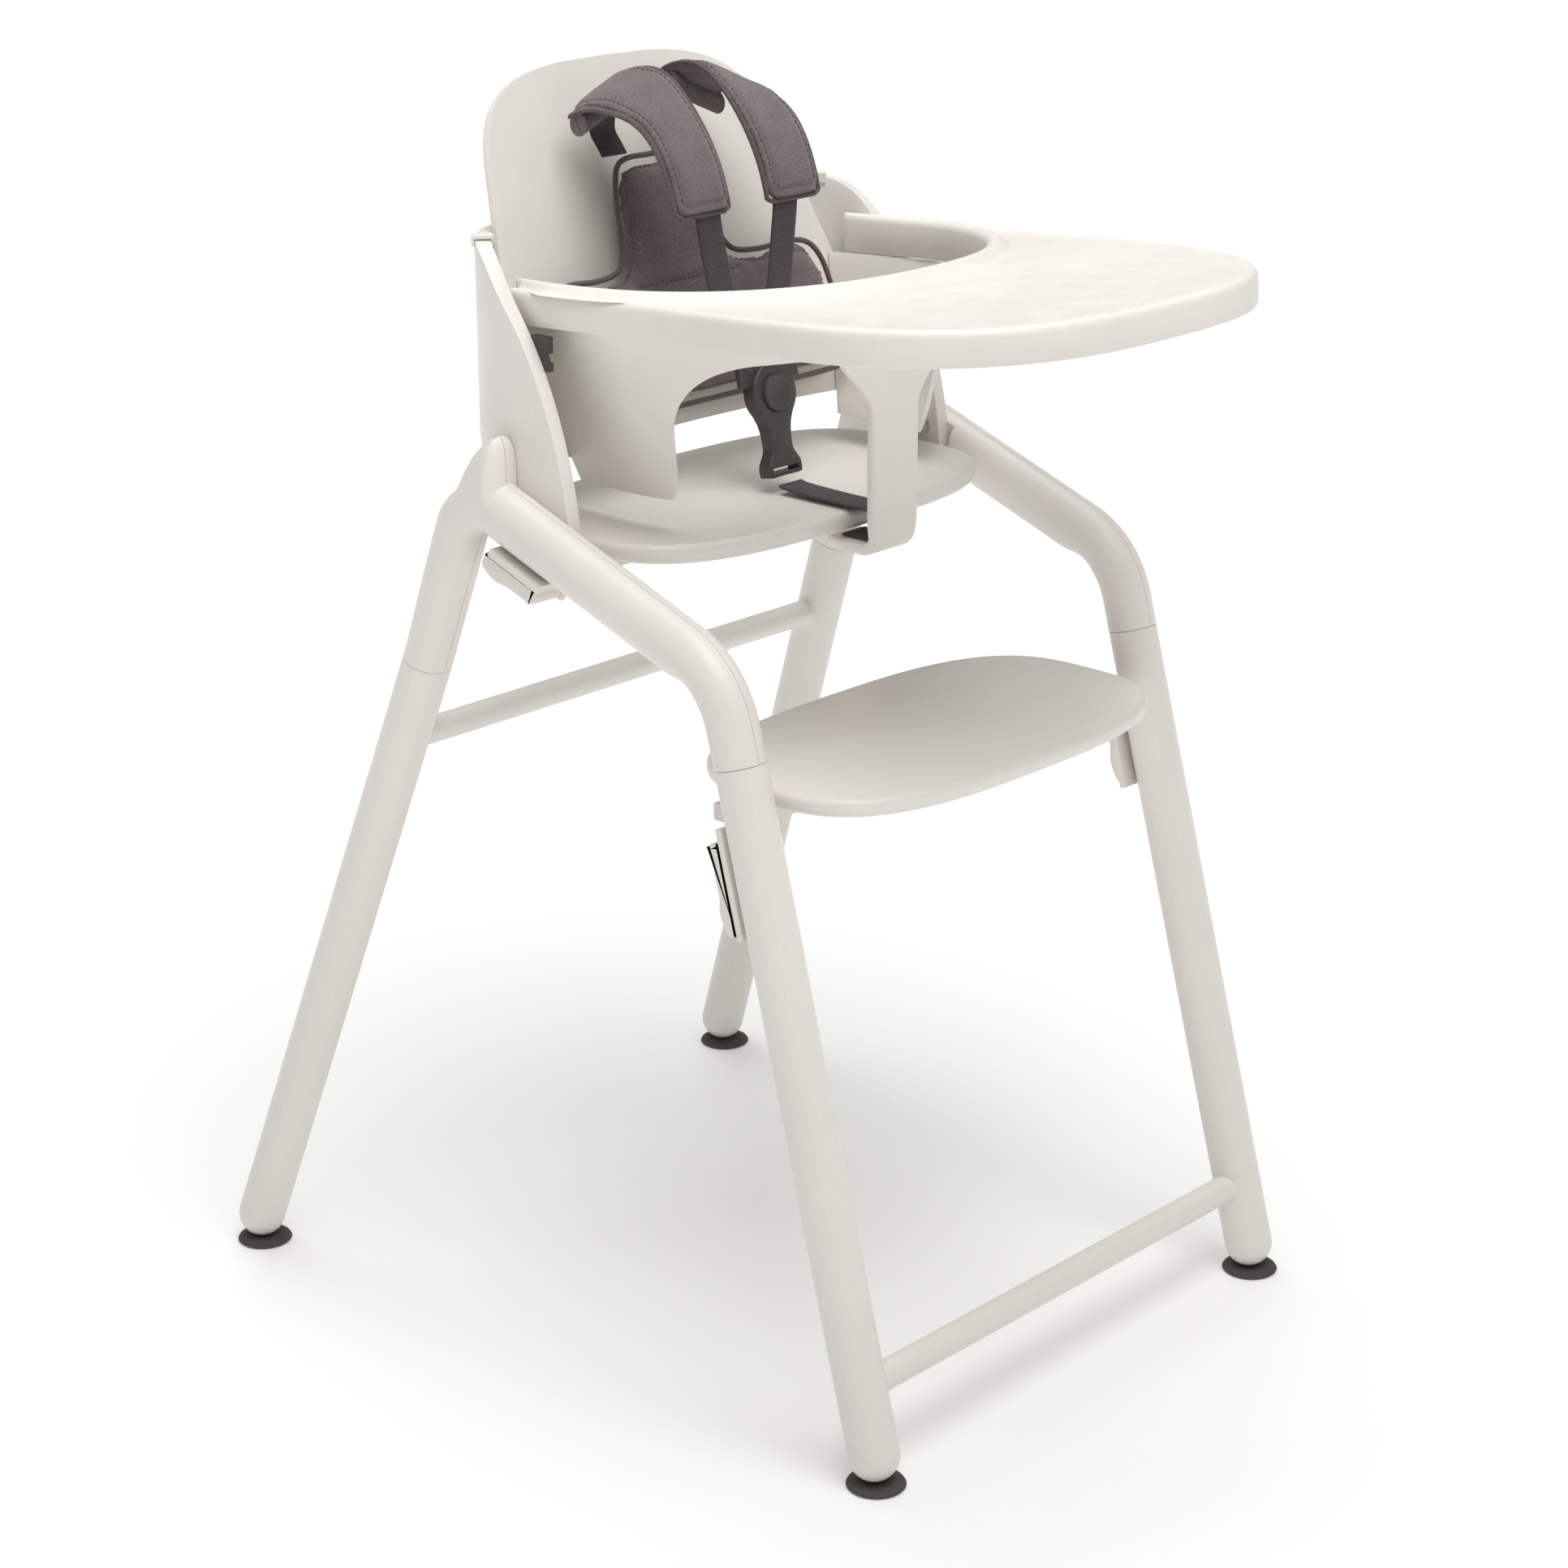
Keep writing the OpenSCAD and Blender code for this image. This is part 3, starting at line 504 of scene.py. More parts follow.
class Graph:
    """Short way to write a node material."""

    def __init__(self, name: str) -> None:
        """Starts an empty material with one Principled shader."""
        self.material = bpy.data.materials.new(name)
        self.material.use_nodes = True
        self.tree = self.material.node_tree
        self.tree.nodes.clear()
        self.shader = self.add("ShaderNodeBsdfPrincipled")
        output = self.add("ShaderNodeOutputMaterial")
        self.tree.links.new(self.shader.outputs[0], output.inputs["Surface"])

    def add(self, kind: str, inputs: dict | None = None, **settings: object) -> bpy.types.Node:
        """Adds a node.

        Args:
            kind: Node type.
            inputs: Values or output sockets by input name or number.
            settings: Properties of the node.

        Returns:
            The node.
        """
        node = self.tree.nodes.new(kind)
        for key, value in settings.items():
            setattr(node, key, value)
        for key, value in (inputs or {}).items():
            self.feed(node.inputs[key], value)
        return node

    def feed(self, socket: bpy.types.NodeSocket, value: object) -> None:
        """Links an output to a socket, or sets its value."""
        if isinstance(value, bpy.types.NodeSocket):
            self.tree.links.new(value, socket)
        else:
            socket.default_value = value

    def place(self, stretch: Colour = (1, 1, 1), attribute: str | None = None) -> bpy.types.NodeSocket:
        """Coordinates in metres, stretched along each axis.

        Args:
            stretch: Scale of each axis.
            attribute: Name of a vector attribute to use in place of the object's own coordinates.

        Returns:
            The vector socket.
        """
        if attribute:
            source = self.add("ShaderNodeAttribute", attribute_name=attribute).outputs["Vector"]
        else:
            source = self.add("ShaderNodeTexCoord").outputs["Object"]
        return self.add("ShaderNodeMapping", {"Vector": source, "Scale": stretch}).outputs["Vector"]

    def noise(self, where: bpy.types.NodeSocket, scale: float, detail: float = 3.0,
              rough: float = 0.5) -> bpy.types.NodeSocket:
        """Noise value."""
        return self.add("ShaderNodeTexNoise", {"Vector": where, "Scale": scale, "Detail": detail,
                                               "Roughness": rough}).outputs["Fac"]

    def wave(self, where: bpy.types.NodeSocket, scale: float, axis: str,
             wobble: float = 0.0) -> bpy.types.NodeSocket:
        """Sine bands along one axis."""
        return self.add("ShaderNodeTexWave", {"Vector": where, "Scale": scale, "Distortion": wobble,
                                              "Detail": 1.0, "Detail Scale": 2.0},
                        bands_direction=axis).outputs["Fac"]

    def ramp(self, value: bpy.types.NodeSocket, low: Pair, high: Pair) -> bpy.types.NodeSocket:
        """Maps the range low to the range high."""
        return self.add("ShaderNodeMapRange", {"Value": value, "From Min": low[0], "From Max": low[1],
                                               "To Min": high[0], "To Max": high[1]}).outputs["Result"]

    def math(self, kind: str, a: object, b: object) -> bpy.types.NodeSocket:
        """Arithmetic of two values."""
        return self.add("ShaderNodeMath", {0: a, 1: b}, operation=kind).outputs[0]

    def blend(self, fac: bpy.types.NodeSocket, a: object, b: object) -> bpy.types.NodeSocket:
        """Colour between a and b."""
        node = self.add("ShaderNodeMix", data_type="RGBA")
        self.feed(node.inputs["Factor"], fac)
        self.feed(node.inputs["A"], a)
        self.feed(node.inputs["B"], b)
        return node.outputs["Result"]

    def bump(self, height: bpy.types.NodeSocket, depth: float, strength: float,
             under: bpy.types.NodeSocket | None = None) -> bpy.types.NodeSocket:
        """Bumped normal, over another one if given."""
        inputs: dict = {"Height": height, "Distance": depth, "Strength": strength}
        if under is not None:
            inputs["Normal"] = under
        return self.add("ShaderNodeBump", inputs).outputs["Normal"]

    def finish(self, **sockets: object) -> bpy.types.Material:
        """Feeds the Principled shader, with _ for a space in the socket names."""
        for key, value in sockets.items():
            self.feed(self.shader.inputs[key.replace("_", " ")], value)
        return self.material


def rgba(colour: Colour, by: float = 1.0) -> tuple[float, float, float, float]:
    """Colour with full alpha, lightened or darkened by a factor."""
    return (min(1.0, colour[0] * by), min(1.0, colour[1] * by), min(1.0, colour[2] * by), 1.0)


@dataclass(frozen=True)
class Lacquer:
    """Satin lacquer over wood or metal: an even coat with a faint orange peel and brush of grain."""

    name: str
    colour: Colour = (0.80, 0.765, 0.72)
    rough: float = 0.36
    grain: Colour = (60.0, 60.0, 6.0)
    peel: float = 0.10

    def build(self) -> bpy.types.Material:
        """Builds the material."""
        g = Graph(self.name)
        where = g.place()
        broad = g.noise(where, 9.0, 3.0)
        grain = g.noise(g.place(self.grain), 6.0, 4.0, 0.6)
        tone = g.math("ADD", g.math("MULTIPLY", broad, 0.6), g.math("MULTIPLY", grain, 0.4))
        light_and_dark = g.ramp(tone, (0.3, 0.7), (0.0, 1.0))
        colour = g.blend(light_and_dark, rgba(self.colour, 0.965), rgba(self.colour, 1.03))
        peel = g.bump(g.noise(where, 420.0, 2.0), 0.0006, self.peel)
        normal = g.bump(grain, 0.0008, 0.12, peel)
        rough = g.ramp(g.noise(where, 35.0, 4.0), (0.3, 0.7), (self.rough - 0.05, self.rough + 0.07))
        return g.finish(Base_Color=colour, Roughness=rough, Normal=normal, Coat_Weight=0.12,
                        Coat_Roughness=0.28, IOR=1.47)


@dataclass(frozen=True)
class MouldedPlastic:
    """Fine-grained injection moulding."""

    name: str
    colour: Colour = (0.80, 0.765, 0.71)
    rough: float = 0.42
    grain: float = 1500.0
    depth: float = 0.22

    def build(self) -> bpy.types.Material:
        """Builds the material."""
        g = Graph(self.name)
        where = g.place()
        broad = g.noise(where, 14.0, 4.0)
        light_and_dark = g.ramp(broad, (0.3, 0.7), (0.0, 1.0))
        colour = g.blend(light_and_dark, rgba(self.colour, 0.97), rgba(self.colour, 1.03))
        pits = g.add("ShaderNodeTexVoronoi", {"Vector": where, "Scale": self.grain}).outputs["Distance"]
        normal = g.bump(pits, 0.0002, self.depth, g.bump(g.noise(where, 260.0), 0.0004, 0.06))
        rough = g.ramp(g.noise(where, 60.0, 4.0), (0.3, 0.7), (self.rough - 0.06, self.rough + 0.08))
        return g.finish(Base_Color=colour, Roughness=rough, Normal=normal, IOR=1.48)


@dataclass(frozen=True)
class MelangeFabric:
    """Two-tone woven fabric with light fibres and painted shade in the gaps between the threads, for the
    pads.
    """

    name: str
    colour: Colour = (0.150, 0.116, 0.124)
    fleck: Colour = (0.33, 0.28, 0.28)
    pitch: float = 0.0009
    attribute: str = "weave"

    def build(self) -> bpy.types.Material:
        """Builds the material."""
        g = Graph(self.name)
        where = g.place(attribute=self.attribute)
        bands = 1.0 / self.pitch / 3.2
        warp = g.wave(where, bands, "X", 1.2)
        weft = g.wave(where, bands, "Y", 1.2)
        weave = g.math("MAXIMUM", g.math("MULTIPLY", warp, g.noise(where, 700.0, 1.0)),
                       g.math("MULTIPLY", weft, g.noise(where, 900.0, 1.0)))
        flecks = g.noise(g.place((1.0, 0.3, 1.0), self.attribute), 1500.0, 2.0, 0.7)
        fleck = g.ramp(flecks, (0.48, 0.70), (0.0, 0.75))
        cloudy = g.ramp(g.noise(where, 45.0, 3.0), (0.3, 0.7), (0.0, 1.0))
        base = g.blend(cloudy, rgba(self.colour, 0.88), rgba(self.colour, 1.12))
        colour = g.blend(fleck, base, rgba(self.fleck))
        # painted shade in the gaps between the threads: darker where the weave height is low
        colour = g.blend(g.ramp(weave, (0.05, 0.5), (0.35, 0.0)), colour, rgba(self.colour, 0.45))
        fuzz = g.bump(g.noise(where, 2600.0, 2.0), 0.0003, 0.35)
        normal = g.bump(weave, 0.0006, 0.7, fuzz)
        return g.finish(Base_Color=colour, Roughness=0.92, Normal=normal, Sheen_Weight=0.35,
                        Sheen_Roughness=0.55, Sheen_Tint=rgba((0.8, 0.74, 0.74)), Specular_IOR_Level=0.25)


@dataclass(frozen=True)
class Webbing:
    """Ribbed strap weave, with its ribs across the strap, with painted highlight on the rib tops and painted
    shade in the grooves.
    """

    name: str
    colour: Colour = (0.066, 0.052, 0.058)
    rib: float = 0.0016

    def build(self) -> bpy.types.Material:
        """Builds the material."""
        g = Graph(self.name)
        where = g.place(attribute="weave")
        rib = g.wave(where, 1.0 / self.rib / 3.2, "Y", 0.6)
        cord = g.wave(where, 1.0 / self.rib / 2.2, "X", 0.8)
        height = g.math("ADD", g.math("MULTIPLY", rib, 0.7), g.math("MULTIPLY", cord, 0.4))
        # painted highlight on the rib tops and painted shade in the grooves: the colour follows the rib
        # height, with a little random tone from noise
        tone = g.ramp(g.math("ADD", height, g.noise(where, 1400.0, 2.0)), (0.5, 1.7), (0.0, 1.0))
        colour = g.blend(tone, rgba(self.colour, 0.55), rgba(self.colour, 1.5))
        normal = g.bump(height, 0.0007, 0.8, g.bump(g.noise(where, 2500.0), 0.0002, 0.3))
        return g.finish(Base_Color=colour, Roughness=0.78, Normal=normal, Sheen_Weight=0.2,
                        Sheen_Roughness=0.5, Specular_IOR_Level=0.3)


@dataclass(frozen=True)
class BrushedSteel:
    """Zinc-plated or brushed steel."""

    name: str
    colour: Colour = (0.60, 0.60, 0.59)

    def build(self) -> bpy.types.Material:
        """Builds the material."""
        g = Graph(self.name)
        where = g.place((1.0, 30.0, 1.0))
        lines = g.noise(where, 90.0, 4.0, 0.7)
        colour = g.blend(lines, rgba(self.colour, 0.86), rgba(self.colour, 1.08))
        return g.finish(Base_Color=colour, Metallic=1.0, Roughness=g.ramp(lines, (0.2, 0.8), (0.24, 0.42)),
                        Normal=g.bump(lines, 0.0002, 0.15))


@dataclass(frozen=True)
class Beech:
    """Bare beech with short dark flecks."""

    name: str
    colour: Colour = (0.56, 0.38, 0.22)

    def build(self) -> bpy.types.Material:
        """Builds the material."""
        g = Graph(self.name)
        grain = g.noise(g.place((70.0, 70.0, 5.0)), 8.0, 5.0, 0.65)
        light_and_dark = g.ramp(grain, (0.35, 0.65), (0.0, 1.0))
        colour = g.blend(light_and_dark, rgba(self.colour, 0.8), rgba(self.colour, 1.1))
        return g.finish(Base_Color=colour, Roughness=0.6, Normal=g.bump(grain, 0.0004, 0.3))


@dataclass(frozen=True)
class FloorPaint:
    """Pale studio floor, which glows more away from the chair so that it ends in white."""

    name: str
    colour: Colour = (0.87, 0.87, 0.87)
    glow: float = 0.14
    far_glow: float = 0.72
    reach: Pair = (0.35, 3.2)

    def build(self) -> bpy.types.Material:
        """Builds the material."""
        g = Graph(self.name)
        where = g.place()
        broad = g.noise(where, 2.0, 2.0)
        colour = g.blend(broad, rgba(self.colour, 0.995), rgba(self.colour, 1.005))
        distance = g.add("ShaderNodeVectorMath", operation="LENGTH")
        g.feed(distance.inputs[0], where)
        glow = g.ramp(distance.outputs["Value"], self.reach, (self.glow, self.far_glow))
        return g.finish(Base_Color=colour, Roughness=g.ramp(broad, (0.0, 1.0), (0.62, 0.7)),
                        Emission_Color=(1, 1, 1, 1), Emission_Strength=glow)


class Finishes:
    """All finishes of the chair, by the record's slot names."""

    def __init__(self) -> None:
        """Builds every material once."""
        self.by_slot = {
            "painted_wood": Lacquer("painted_wood").build(),
            "painted_casting": Lacquer("painted_casting", rough=0.38, grain=(1.0, 1.0, 1.0),
                                       peel=0.16).build(),
            "moulded_plastic": MouldedPlastic("moulded_plastic").build(),
            "dark_plastic": MouldedPlastic("dark_plastic", (0.046, 0.045, 0.043), 0.38, 1800.0, 0.3).build(),
            "rubber": MouldedPlastic("rubber", (0.066, 0.057, 0.055), 0.7, 900.0, 0.4).build(),
            "steel": BrushedSteel("steel").build(),
            "beech": Beech("beech").build(),
            "melange_fabric": MelangeFabric("melange_fabric").build(),
            "webbing": Webbing("webbing").build(),
        }
        self.binding = MelangeFabric("binding", (0.105, 0.080, 0.087), (0.20, 0.17, 0.17), 0.0007).build()
        self.thread = Webbing("thread", (0.20, 0.165, 0.165), 0.0008).build()

    def dress(self, piece: bpy.types.Object, slot: str, body: Body, nodes: Sequence[str] = (),
              material: bpy.types.Material | None = None) -> bpy.types.Object:
        """Gives a piece its finish and the body that it rides on.

        Args:
            piece: Finished mesh.
            slot: Slot of the record.
            body: Body that it rides on.
            nodes: CAD nodes that it stands for.
            material: Finish in place of the slot's own.

        Returns:
            The same piece.
        """
        piece.data.materials.clear()
        piece.data.materials.append(material or self.by_slot[slot])
        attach(piece, body.value)
        if nodes:
            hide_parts(*nodes)
        log.info("%s rides on %s", piece.name, body.value)
        return piece

    def dress_frame(self) -> None:
        """Gives every CAD node the finish of its slot."""
        slots = {part["node"]: part["material_slot"] for part in frame["record"]["subparts"]}
        for name, node in frame["nodes"].items():
            node.data.materials.clear()
            node.data.materials.append(self.by_slot[slots[name]])
            node.data.set_sharp_from_angle(angle=math.radians(35))


# ---------------------------------------------------------------- frame and legs


@dataclass(frozen=True)
class LegLine:
    """Axis of a left leg, from its foot to its seam with the casting."""

    foot: tuple[float, float, float]
    seam: tuple[float, float, float]

    def at(self, z: float) -> Vector:
        """Point of the axis at a height."""
        foot, seam = Vector(self.foot), Vector(self.seam)
        return foot.lerp(seam, (z - foot.z) / (seam.z - foot.z))


FRONT_LEG = LegLine((0.218, -0.280, 0.022), (0.2133, -0.1539, 0.491))
REAR_LEG = LegLine((0.2616, 0.3203, 0.022), (0.2183, 0.1494, 0.5018))
LEG_RADIUS = 0.018
ARM_X = 0.212
ARM_Z0 = 0.600
ARM_ANGLE = math.atan(0.367)
FRONT_LEAN = math.atan((FRONT_LEG.seam[1] - FRONT_LEG.foot[1]) / (FRONT_LEG.seam[2] - FRONT_LEG.foot[2]))
REAR_LEAN = math.atan((REAR_LEG.foot[1] - REAR_LEG.seam[1]) / (REAR_LEG.seam[2] - REAR_LEG.foot[2]))


def on_arm() -> Matrix:
    """Frame of the left slope arm: local +X up the slope, +Z its normal."""
    return (Matrix.Translation((ARM_X, 0, ARM_Z0)) @ Matrix.Rotation(ARM_ANGLE, 4, "X")
            @ Matrix.Rotation(math.pi / 2, 4, "Z"))


@dataclass
class Legs:
    """Four round legs with rounded feet, and the two crossbars between them."""

    finishes: Finishes
    floor_end: float = 0.0046
    front_bar: Pair = (0.0689, 0.0105)
    rear_bar: Pair = (0.4385, 0.0100)

    def build(self) -> None:
        """Builds and dresses all of them."""
        for side in Side:
            for word, line, lean in (("front", FRONT_LEG, -FRONT_LEAN), ("rear", REAR_LEG, REAR_LEAN)):
                leg = on_side(self.leg(f"{word}_leg_{side.word}_turned", line, lean), side)
                self.finishes.dress(leg, "painted_wood", Body.FRAME, [f"{word}_leg_{side.word}"])
        bars = (("front", FRONT_LEG, self.front_bar), ("rear", REAR_LEG, self.rear_bar))
        for word, line, (z, radius) in bars:
            self.finishes.dress(self.bar(f"{word}_crossbar_turned", line, z, radius), "painted_wood",
                                Body.FRAME, [f"{word}_crossbar"])

    def leg(self, name: str, line: LegLine, lean: float) -> bpy.types.Object:
        """Left leg: a round rod with a ball end, flat on its glide and chamfered at the seam.

        Args:
            name: Object name.
            line: Axis of the leg.
            lean: Angle of the seam's plane from level.

        Returns:
            The linked object.
        """
        foot, seam = Vector(line.foot), Vector(line.seam)
        along = (seam - foot).normalized()
        across = Vector((1, 0, 0)).cross(along).normalized()
        wide = along.cross(across)
        flat = Vector((0, -math.sin(lean), math.cos(lean)))
        rings = []
        for k in range(9):
            a = math.radians(12 + 78 * k / 8)
            rings.append((foot - along * LEG_RADIUS * math.cos(a), LEG_RADIUS * math.sin(a)))
        for k in range(1, 12):
            rings.append((foot.lerp(seam, k / 12), LEG_RADIUS))
        rows = []
        for centre, radius in rings:
            rows.append([self.on_floor(centre + radius * (wide * math.cos(t) + across * math.sin(t)))
                         for t in self.turns()])
        for back, less in ((0.0015, 0.0), (0.0006, 0.0002), (0.0003, 0.0008)):
            radius = LEG_RADIUS - less
            rows.append([self.to_plane(radius * (wide * math.cos(t) + across * math.sin(t)) + seam,
                                       along, seam - along * back, flat) for t in self.turns()])
        return loft(name, rows, False, 40)

    @staticmethod
    def turns(sides: int = 72) -> list[float]:
        """Angles round a section."""
        return [2 * math.pi * k / sides for k in range(sides)]

    def on_floor(self, p: Vector) -> Vector:
        """Point kept above the glide."""
        return Vector((p.x, p.y, max(p.z, self.floor_end)))

    @staticmethod
    def to_plane(p: Vector, along: Vector, origin: Vector, normal: Vector) -> Vector:
        """Point moved along the leg to a plane."""
        return p + along * ((origin - p).dot(normal) / along.dot(normal))

    @staticmethod
    def bar(name: str, line: LegLine, z: float, radius: float) -> bpy.types.Object:
        """Crossbar between the two legs of one pair."""
        end = line.at(z)
        half = end.x - 0.0095
        a, b = Vector((-half, end.y, z)), Vector((half, end.y, z))
        length = (b - a).length
        profile = [(radius - 0.001, 0.0), (radius, 0.001), (radius, length / 2), (radius, length - 0.001),
                   (radius - 0.001, length)]
        return lathe(name, profile, between(a, b), 56)


@dataclass
class SideCastings:
    """Bent side castings: each an outer and an inner half shell with a fine parting line."""

    finishes: Finishes
    web: float = 0.005
    horn: float = 0.036
    front_bend: float = 0.070
    apex_bend: float = 0.034
    apex_x: float = 0.2125
    rear_rise: float = 0.003
    parting: float = 0.00018
    panel_notch: tuple[float, float, float] = (0.2013, 0.012, 0.597)
    notch_size: tuple[float, float, float] = (0.05, 0.2, 0.12)
    horn_start: Pair = (5.0, 10.0)
    horn_end: Pair = (4.0, 56.0)
    horn_pace: float = 1100.0
    web_front: Pair = (-0.128, 0.030)
    web_rear: Pair = (0.080, 0.022)

    def build(self) -> None:
        """Builds and dresses the four halves."""
        stations = self.stations()
        for side in Side:
            for word, half in (("outer", 1), ("inner", -1)):
                name = f"{word}_casting_{side.word}"
                shell = self.half(f"{name}_shell", stations, half)
                if half < 0:
                    shell = cut(shell, self.notch())
                    shell.data.shade_smooth()
                    shell.data.set_sharp_from_angle(angle=math.radians(40))
                self.finishes.dress(on_side(shell, side), "painted_casting", Body.FRAME, [name])

    def notch(self) -> bpy.types.Object:
        """Cutter of the flat that the back panel lies on."""
        x, y, z = self.panel_notch
        depth, length, height = self.notch_size
        outline = [(x - depth, y), (x, y), (x, y + length), (x - depth, y + length)]
        rings = [[Vector((px, py, h)) for px, py in outline] for h in (z, z + height)]
        return loft("notch", rings)

    def horn_rise(self, phi: float) -> float:
        """Rise of the horn at an angle in degrees round the apex bend."""
        (up, up_in), (down, down_in) = self.horn_start, self.horn_end
        return self.horn * smooth((phi - up) / up_in) * (1 - smooth((phi - down) / down_in))

    def web_drop(self, y: float) -> float:
        """Extra depth under the arm."""
        (front, front_in), (rear, rear_in) = self.web_front, self.web_rear
        return self.web * smooth((y - front) / front_in) * (1 - smooth((y - rear) / rear_in))

    def stations(self) -> list[tuple[float, float, float, float, float, float]]:
        """Sections along the casting, from the front seam to the rear one.

        Returns:
            Tuples of x, y, z, the angle of the outward normal, the rise above and the drop below a round.
        """
        slope = math.tan(ARM_ANGLE)
        front = math.pi - FRONT_LEAN
        arm = math.pi / 2 + ARM_ANGLE
        rear = REAR_LEAN

        def meet(seam: Sequence[float], lean: float) -> Vector:
            """Corner of a leg's line and the arm's line in the side plane."""
            y = (seam[1] + math.tan(lean) * (ARM_Z0 - seam[2])) / (1 - math.tan(lean) * slope)
            return Vector((y, ARM_Z0 + slope * y))

        def unit(angle: float) -> Vector:
            """Unit vector of the side plane."""
            return Vector((math.cos(angle), math.sin(angle)))

        along = unit(ARM_ANGLE)
        bend_end = meet(FRONT_LEG.seam, FRONT_LEAN) + along * self.front_bend * math.tan((front - arm) / 2)
        apex_start = meet(REAR_LEG.seam, -REAR_LEAN) - along * self.apex_bend * math.tan((arm - rear) / 2)
        bend_c = bend_end - self.front_bend * unit(arm)
        apex_c = apex_start - self.apex_bend * unit(arm)
        out = [(FRONT_LEG.seam[0], FRONT_LEG.seam[1], FRONT_LEG.seam[2], front, 0.0, 0.0)]
        for k in range(25):
            t = k / 24
            n = mix(front, arm, t)
            p = bend_c + self.front_bend * unit(n)
            out.append((mix(FRONT_LEG.seam[0], ARM_X, t), p.x, p.y, n, 0.0, self.web_drop(p.x)))
        for k in range(1, 40):
            p = bend_end.lerp(apex_start, k / 40)
            rise = self.horn_rise(-self.horn_pace * (apex_start - p).length)
            out.append((ARM_X, p.x, p.y, arm, rise, self.web_drop(p.x)))
        for k in range(49):
            t = k / 48
            n = mix(arm, rear, t)
            p = apex_c + self.apex_bend * unit(n)
            rise = self.horn_rise(math.degrees(arm - n)) + self.rear_rise * smooth(2 * t - 1)
            out.append((mix(ARM_X, self.apex_x, smooth(t)), p.x, p.y, n, rise, self.web_drop(p.x)))
        start = apex_c + self.apex_bend * unit(rear)
        end = Vector((REAR_LEG.seam[1], REAR_LEG.seam[2]))
        for k in range(1, 13):
            t = k / 12
            p = start.lerp(end, t)
            out.append((mix(self.apex_x, REAR_LEG.seam[0], t), p.x, p.y, rear,
                        self.rear_rise * (1 - smooth(t)), 0.0))
        return out

    def half(self, name: str, stations: Sequence[tuple], side: int, steps: int = 30) -> bpy.types.Object:
        """Half shell of a left casting.

        Args:
            name: Object name.
            stations: Sections along the casting.
            side: 1 for the outer half, -1 for the inner one.
            steps: Steps round the half section.

        Returns:
            The linked object.
        """
        rings = []
        for x, y, z, angle, rise, drop in stations:
            middle, reach = (rise - drop) / 2, LEG_RADIUS + (rise + drop) / 2
            ring = []
            for k in range(steps + 1):
                a = math.pi * k / steps
                round_off = 1 - 0.012 * math.exp(-(min(a, math.pi - a) / 0.045) ** 2)
                o = middle + reach * math.cos(a) * round_off
                across = side * (self.parting + (LEG_RADIUS - self.parting) * math.sin(a))
                ring.append(Vector((x + across, y + o * math.cos(angle), z + o * math.sin(angle))))
            rings.append(ring)
        return loft(name, rings, False, 40)


@dataclass
class BackPanel:
    """Bent plywood back panel."""

    finishes: Finishes
    half_w: float = 0.201
    thick: float = 0.011
    bend: float = 0.100
    back_y: float = 0.167
    top: float = 0.802
    low: float = 0.672

    def build(self) -> None:
        """Builds and dresses the panel."""
        panel = self.panel("back_panel_plywood")
        self.finishes.dress(panel, "painted_wood", Body.FRAME, ["back_panel"])

    def plan(self, s: float) -> Pair:
        """Point of the middle line at a distance from the front, on the left side."""
        mid, r = self.thick / 2, self.bend - self.thick / 2
        straight = self.back_y - self.bend
        if s < straight:
            return self.half_w - mid, s
        turn = (s - straight) / r
        if turn < math.pi / 2:
            return self.half_w - self.bend + r * math.cos(turn), straight + r * math.sin(turn)
        return self.half_w - self.bend - (s - straight - r * math.pi / 2), self.back_y - mid

    def reach(self, y: float) -> float:
        """Distance along the middle line at which it comes to y."""
        r, straight = self.bend - self.thick / 2, self.back_y - self.bend
        return y if y < straight else straight + r * math.asin(min(1.0, (y - straight) / r))

    def edge(self, side_view: Sequence[Pair], count: int) -> list[Vector]:
        """Edge of the panel as (distance, height) points up to the middle plane."""
        straight, turn = self.back_y - self.bend, (self.bend - self.thick / 2) * math.pi / 2
        middle = straight + turn + self.half_w - self.bend
        points = [Vector((self.reach(y), z)) for y, z in side_view]
        points.append(Vector((middle, points[-1].y)))
        return evenly(points, count)

    def panel(self, name: str, count: int = 90, rows: int = 14) -> bpy.types.Object:
        """Panel between its upper and its lower edge, both given as seen from the side.

        Args:
            name: Object name.
            count: Columns of each half.
            rows: Rows from the lower to the upper edge.

        Returns:
            The linked object.
        """
        foot, shoulder, heel = (0.017, 0.600), (0.076, 0.762), (0.085, 0.626)
        upper = bezier([foot, (0.020, 0.665), (0.050, 0.733), shoulder], 24)
        upper += bezier([shoulder, (0.093, 0.782), (0.107, self.top), (0.131, self.top)], 20)[1:]
        lower = [foot, heel]
        lower += bezier([heel, (0.112, 0.634), (0.118, self.low), (0.150, self.low)], 20)[1:]
        half = list(zip(self.edge(lower, count), self.edge(upper, count)))
        columns = [(a, b, 1) for a, b in half] + [(a, b, -1) for a, b in reversed(half[:-1])]
        rings = []
        for low, high, sign in columns:
            column = []
            for k in range(rows + 1):
                s, z = low.lerp(high, k / rows)
                x, y = self.plan(s)
                column.append(Vector((sign * x, y, z)))
            rings.append(column)
        return thickened(grid(name, rings), self.thick, 0.0035, 0.0, 4)


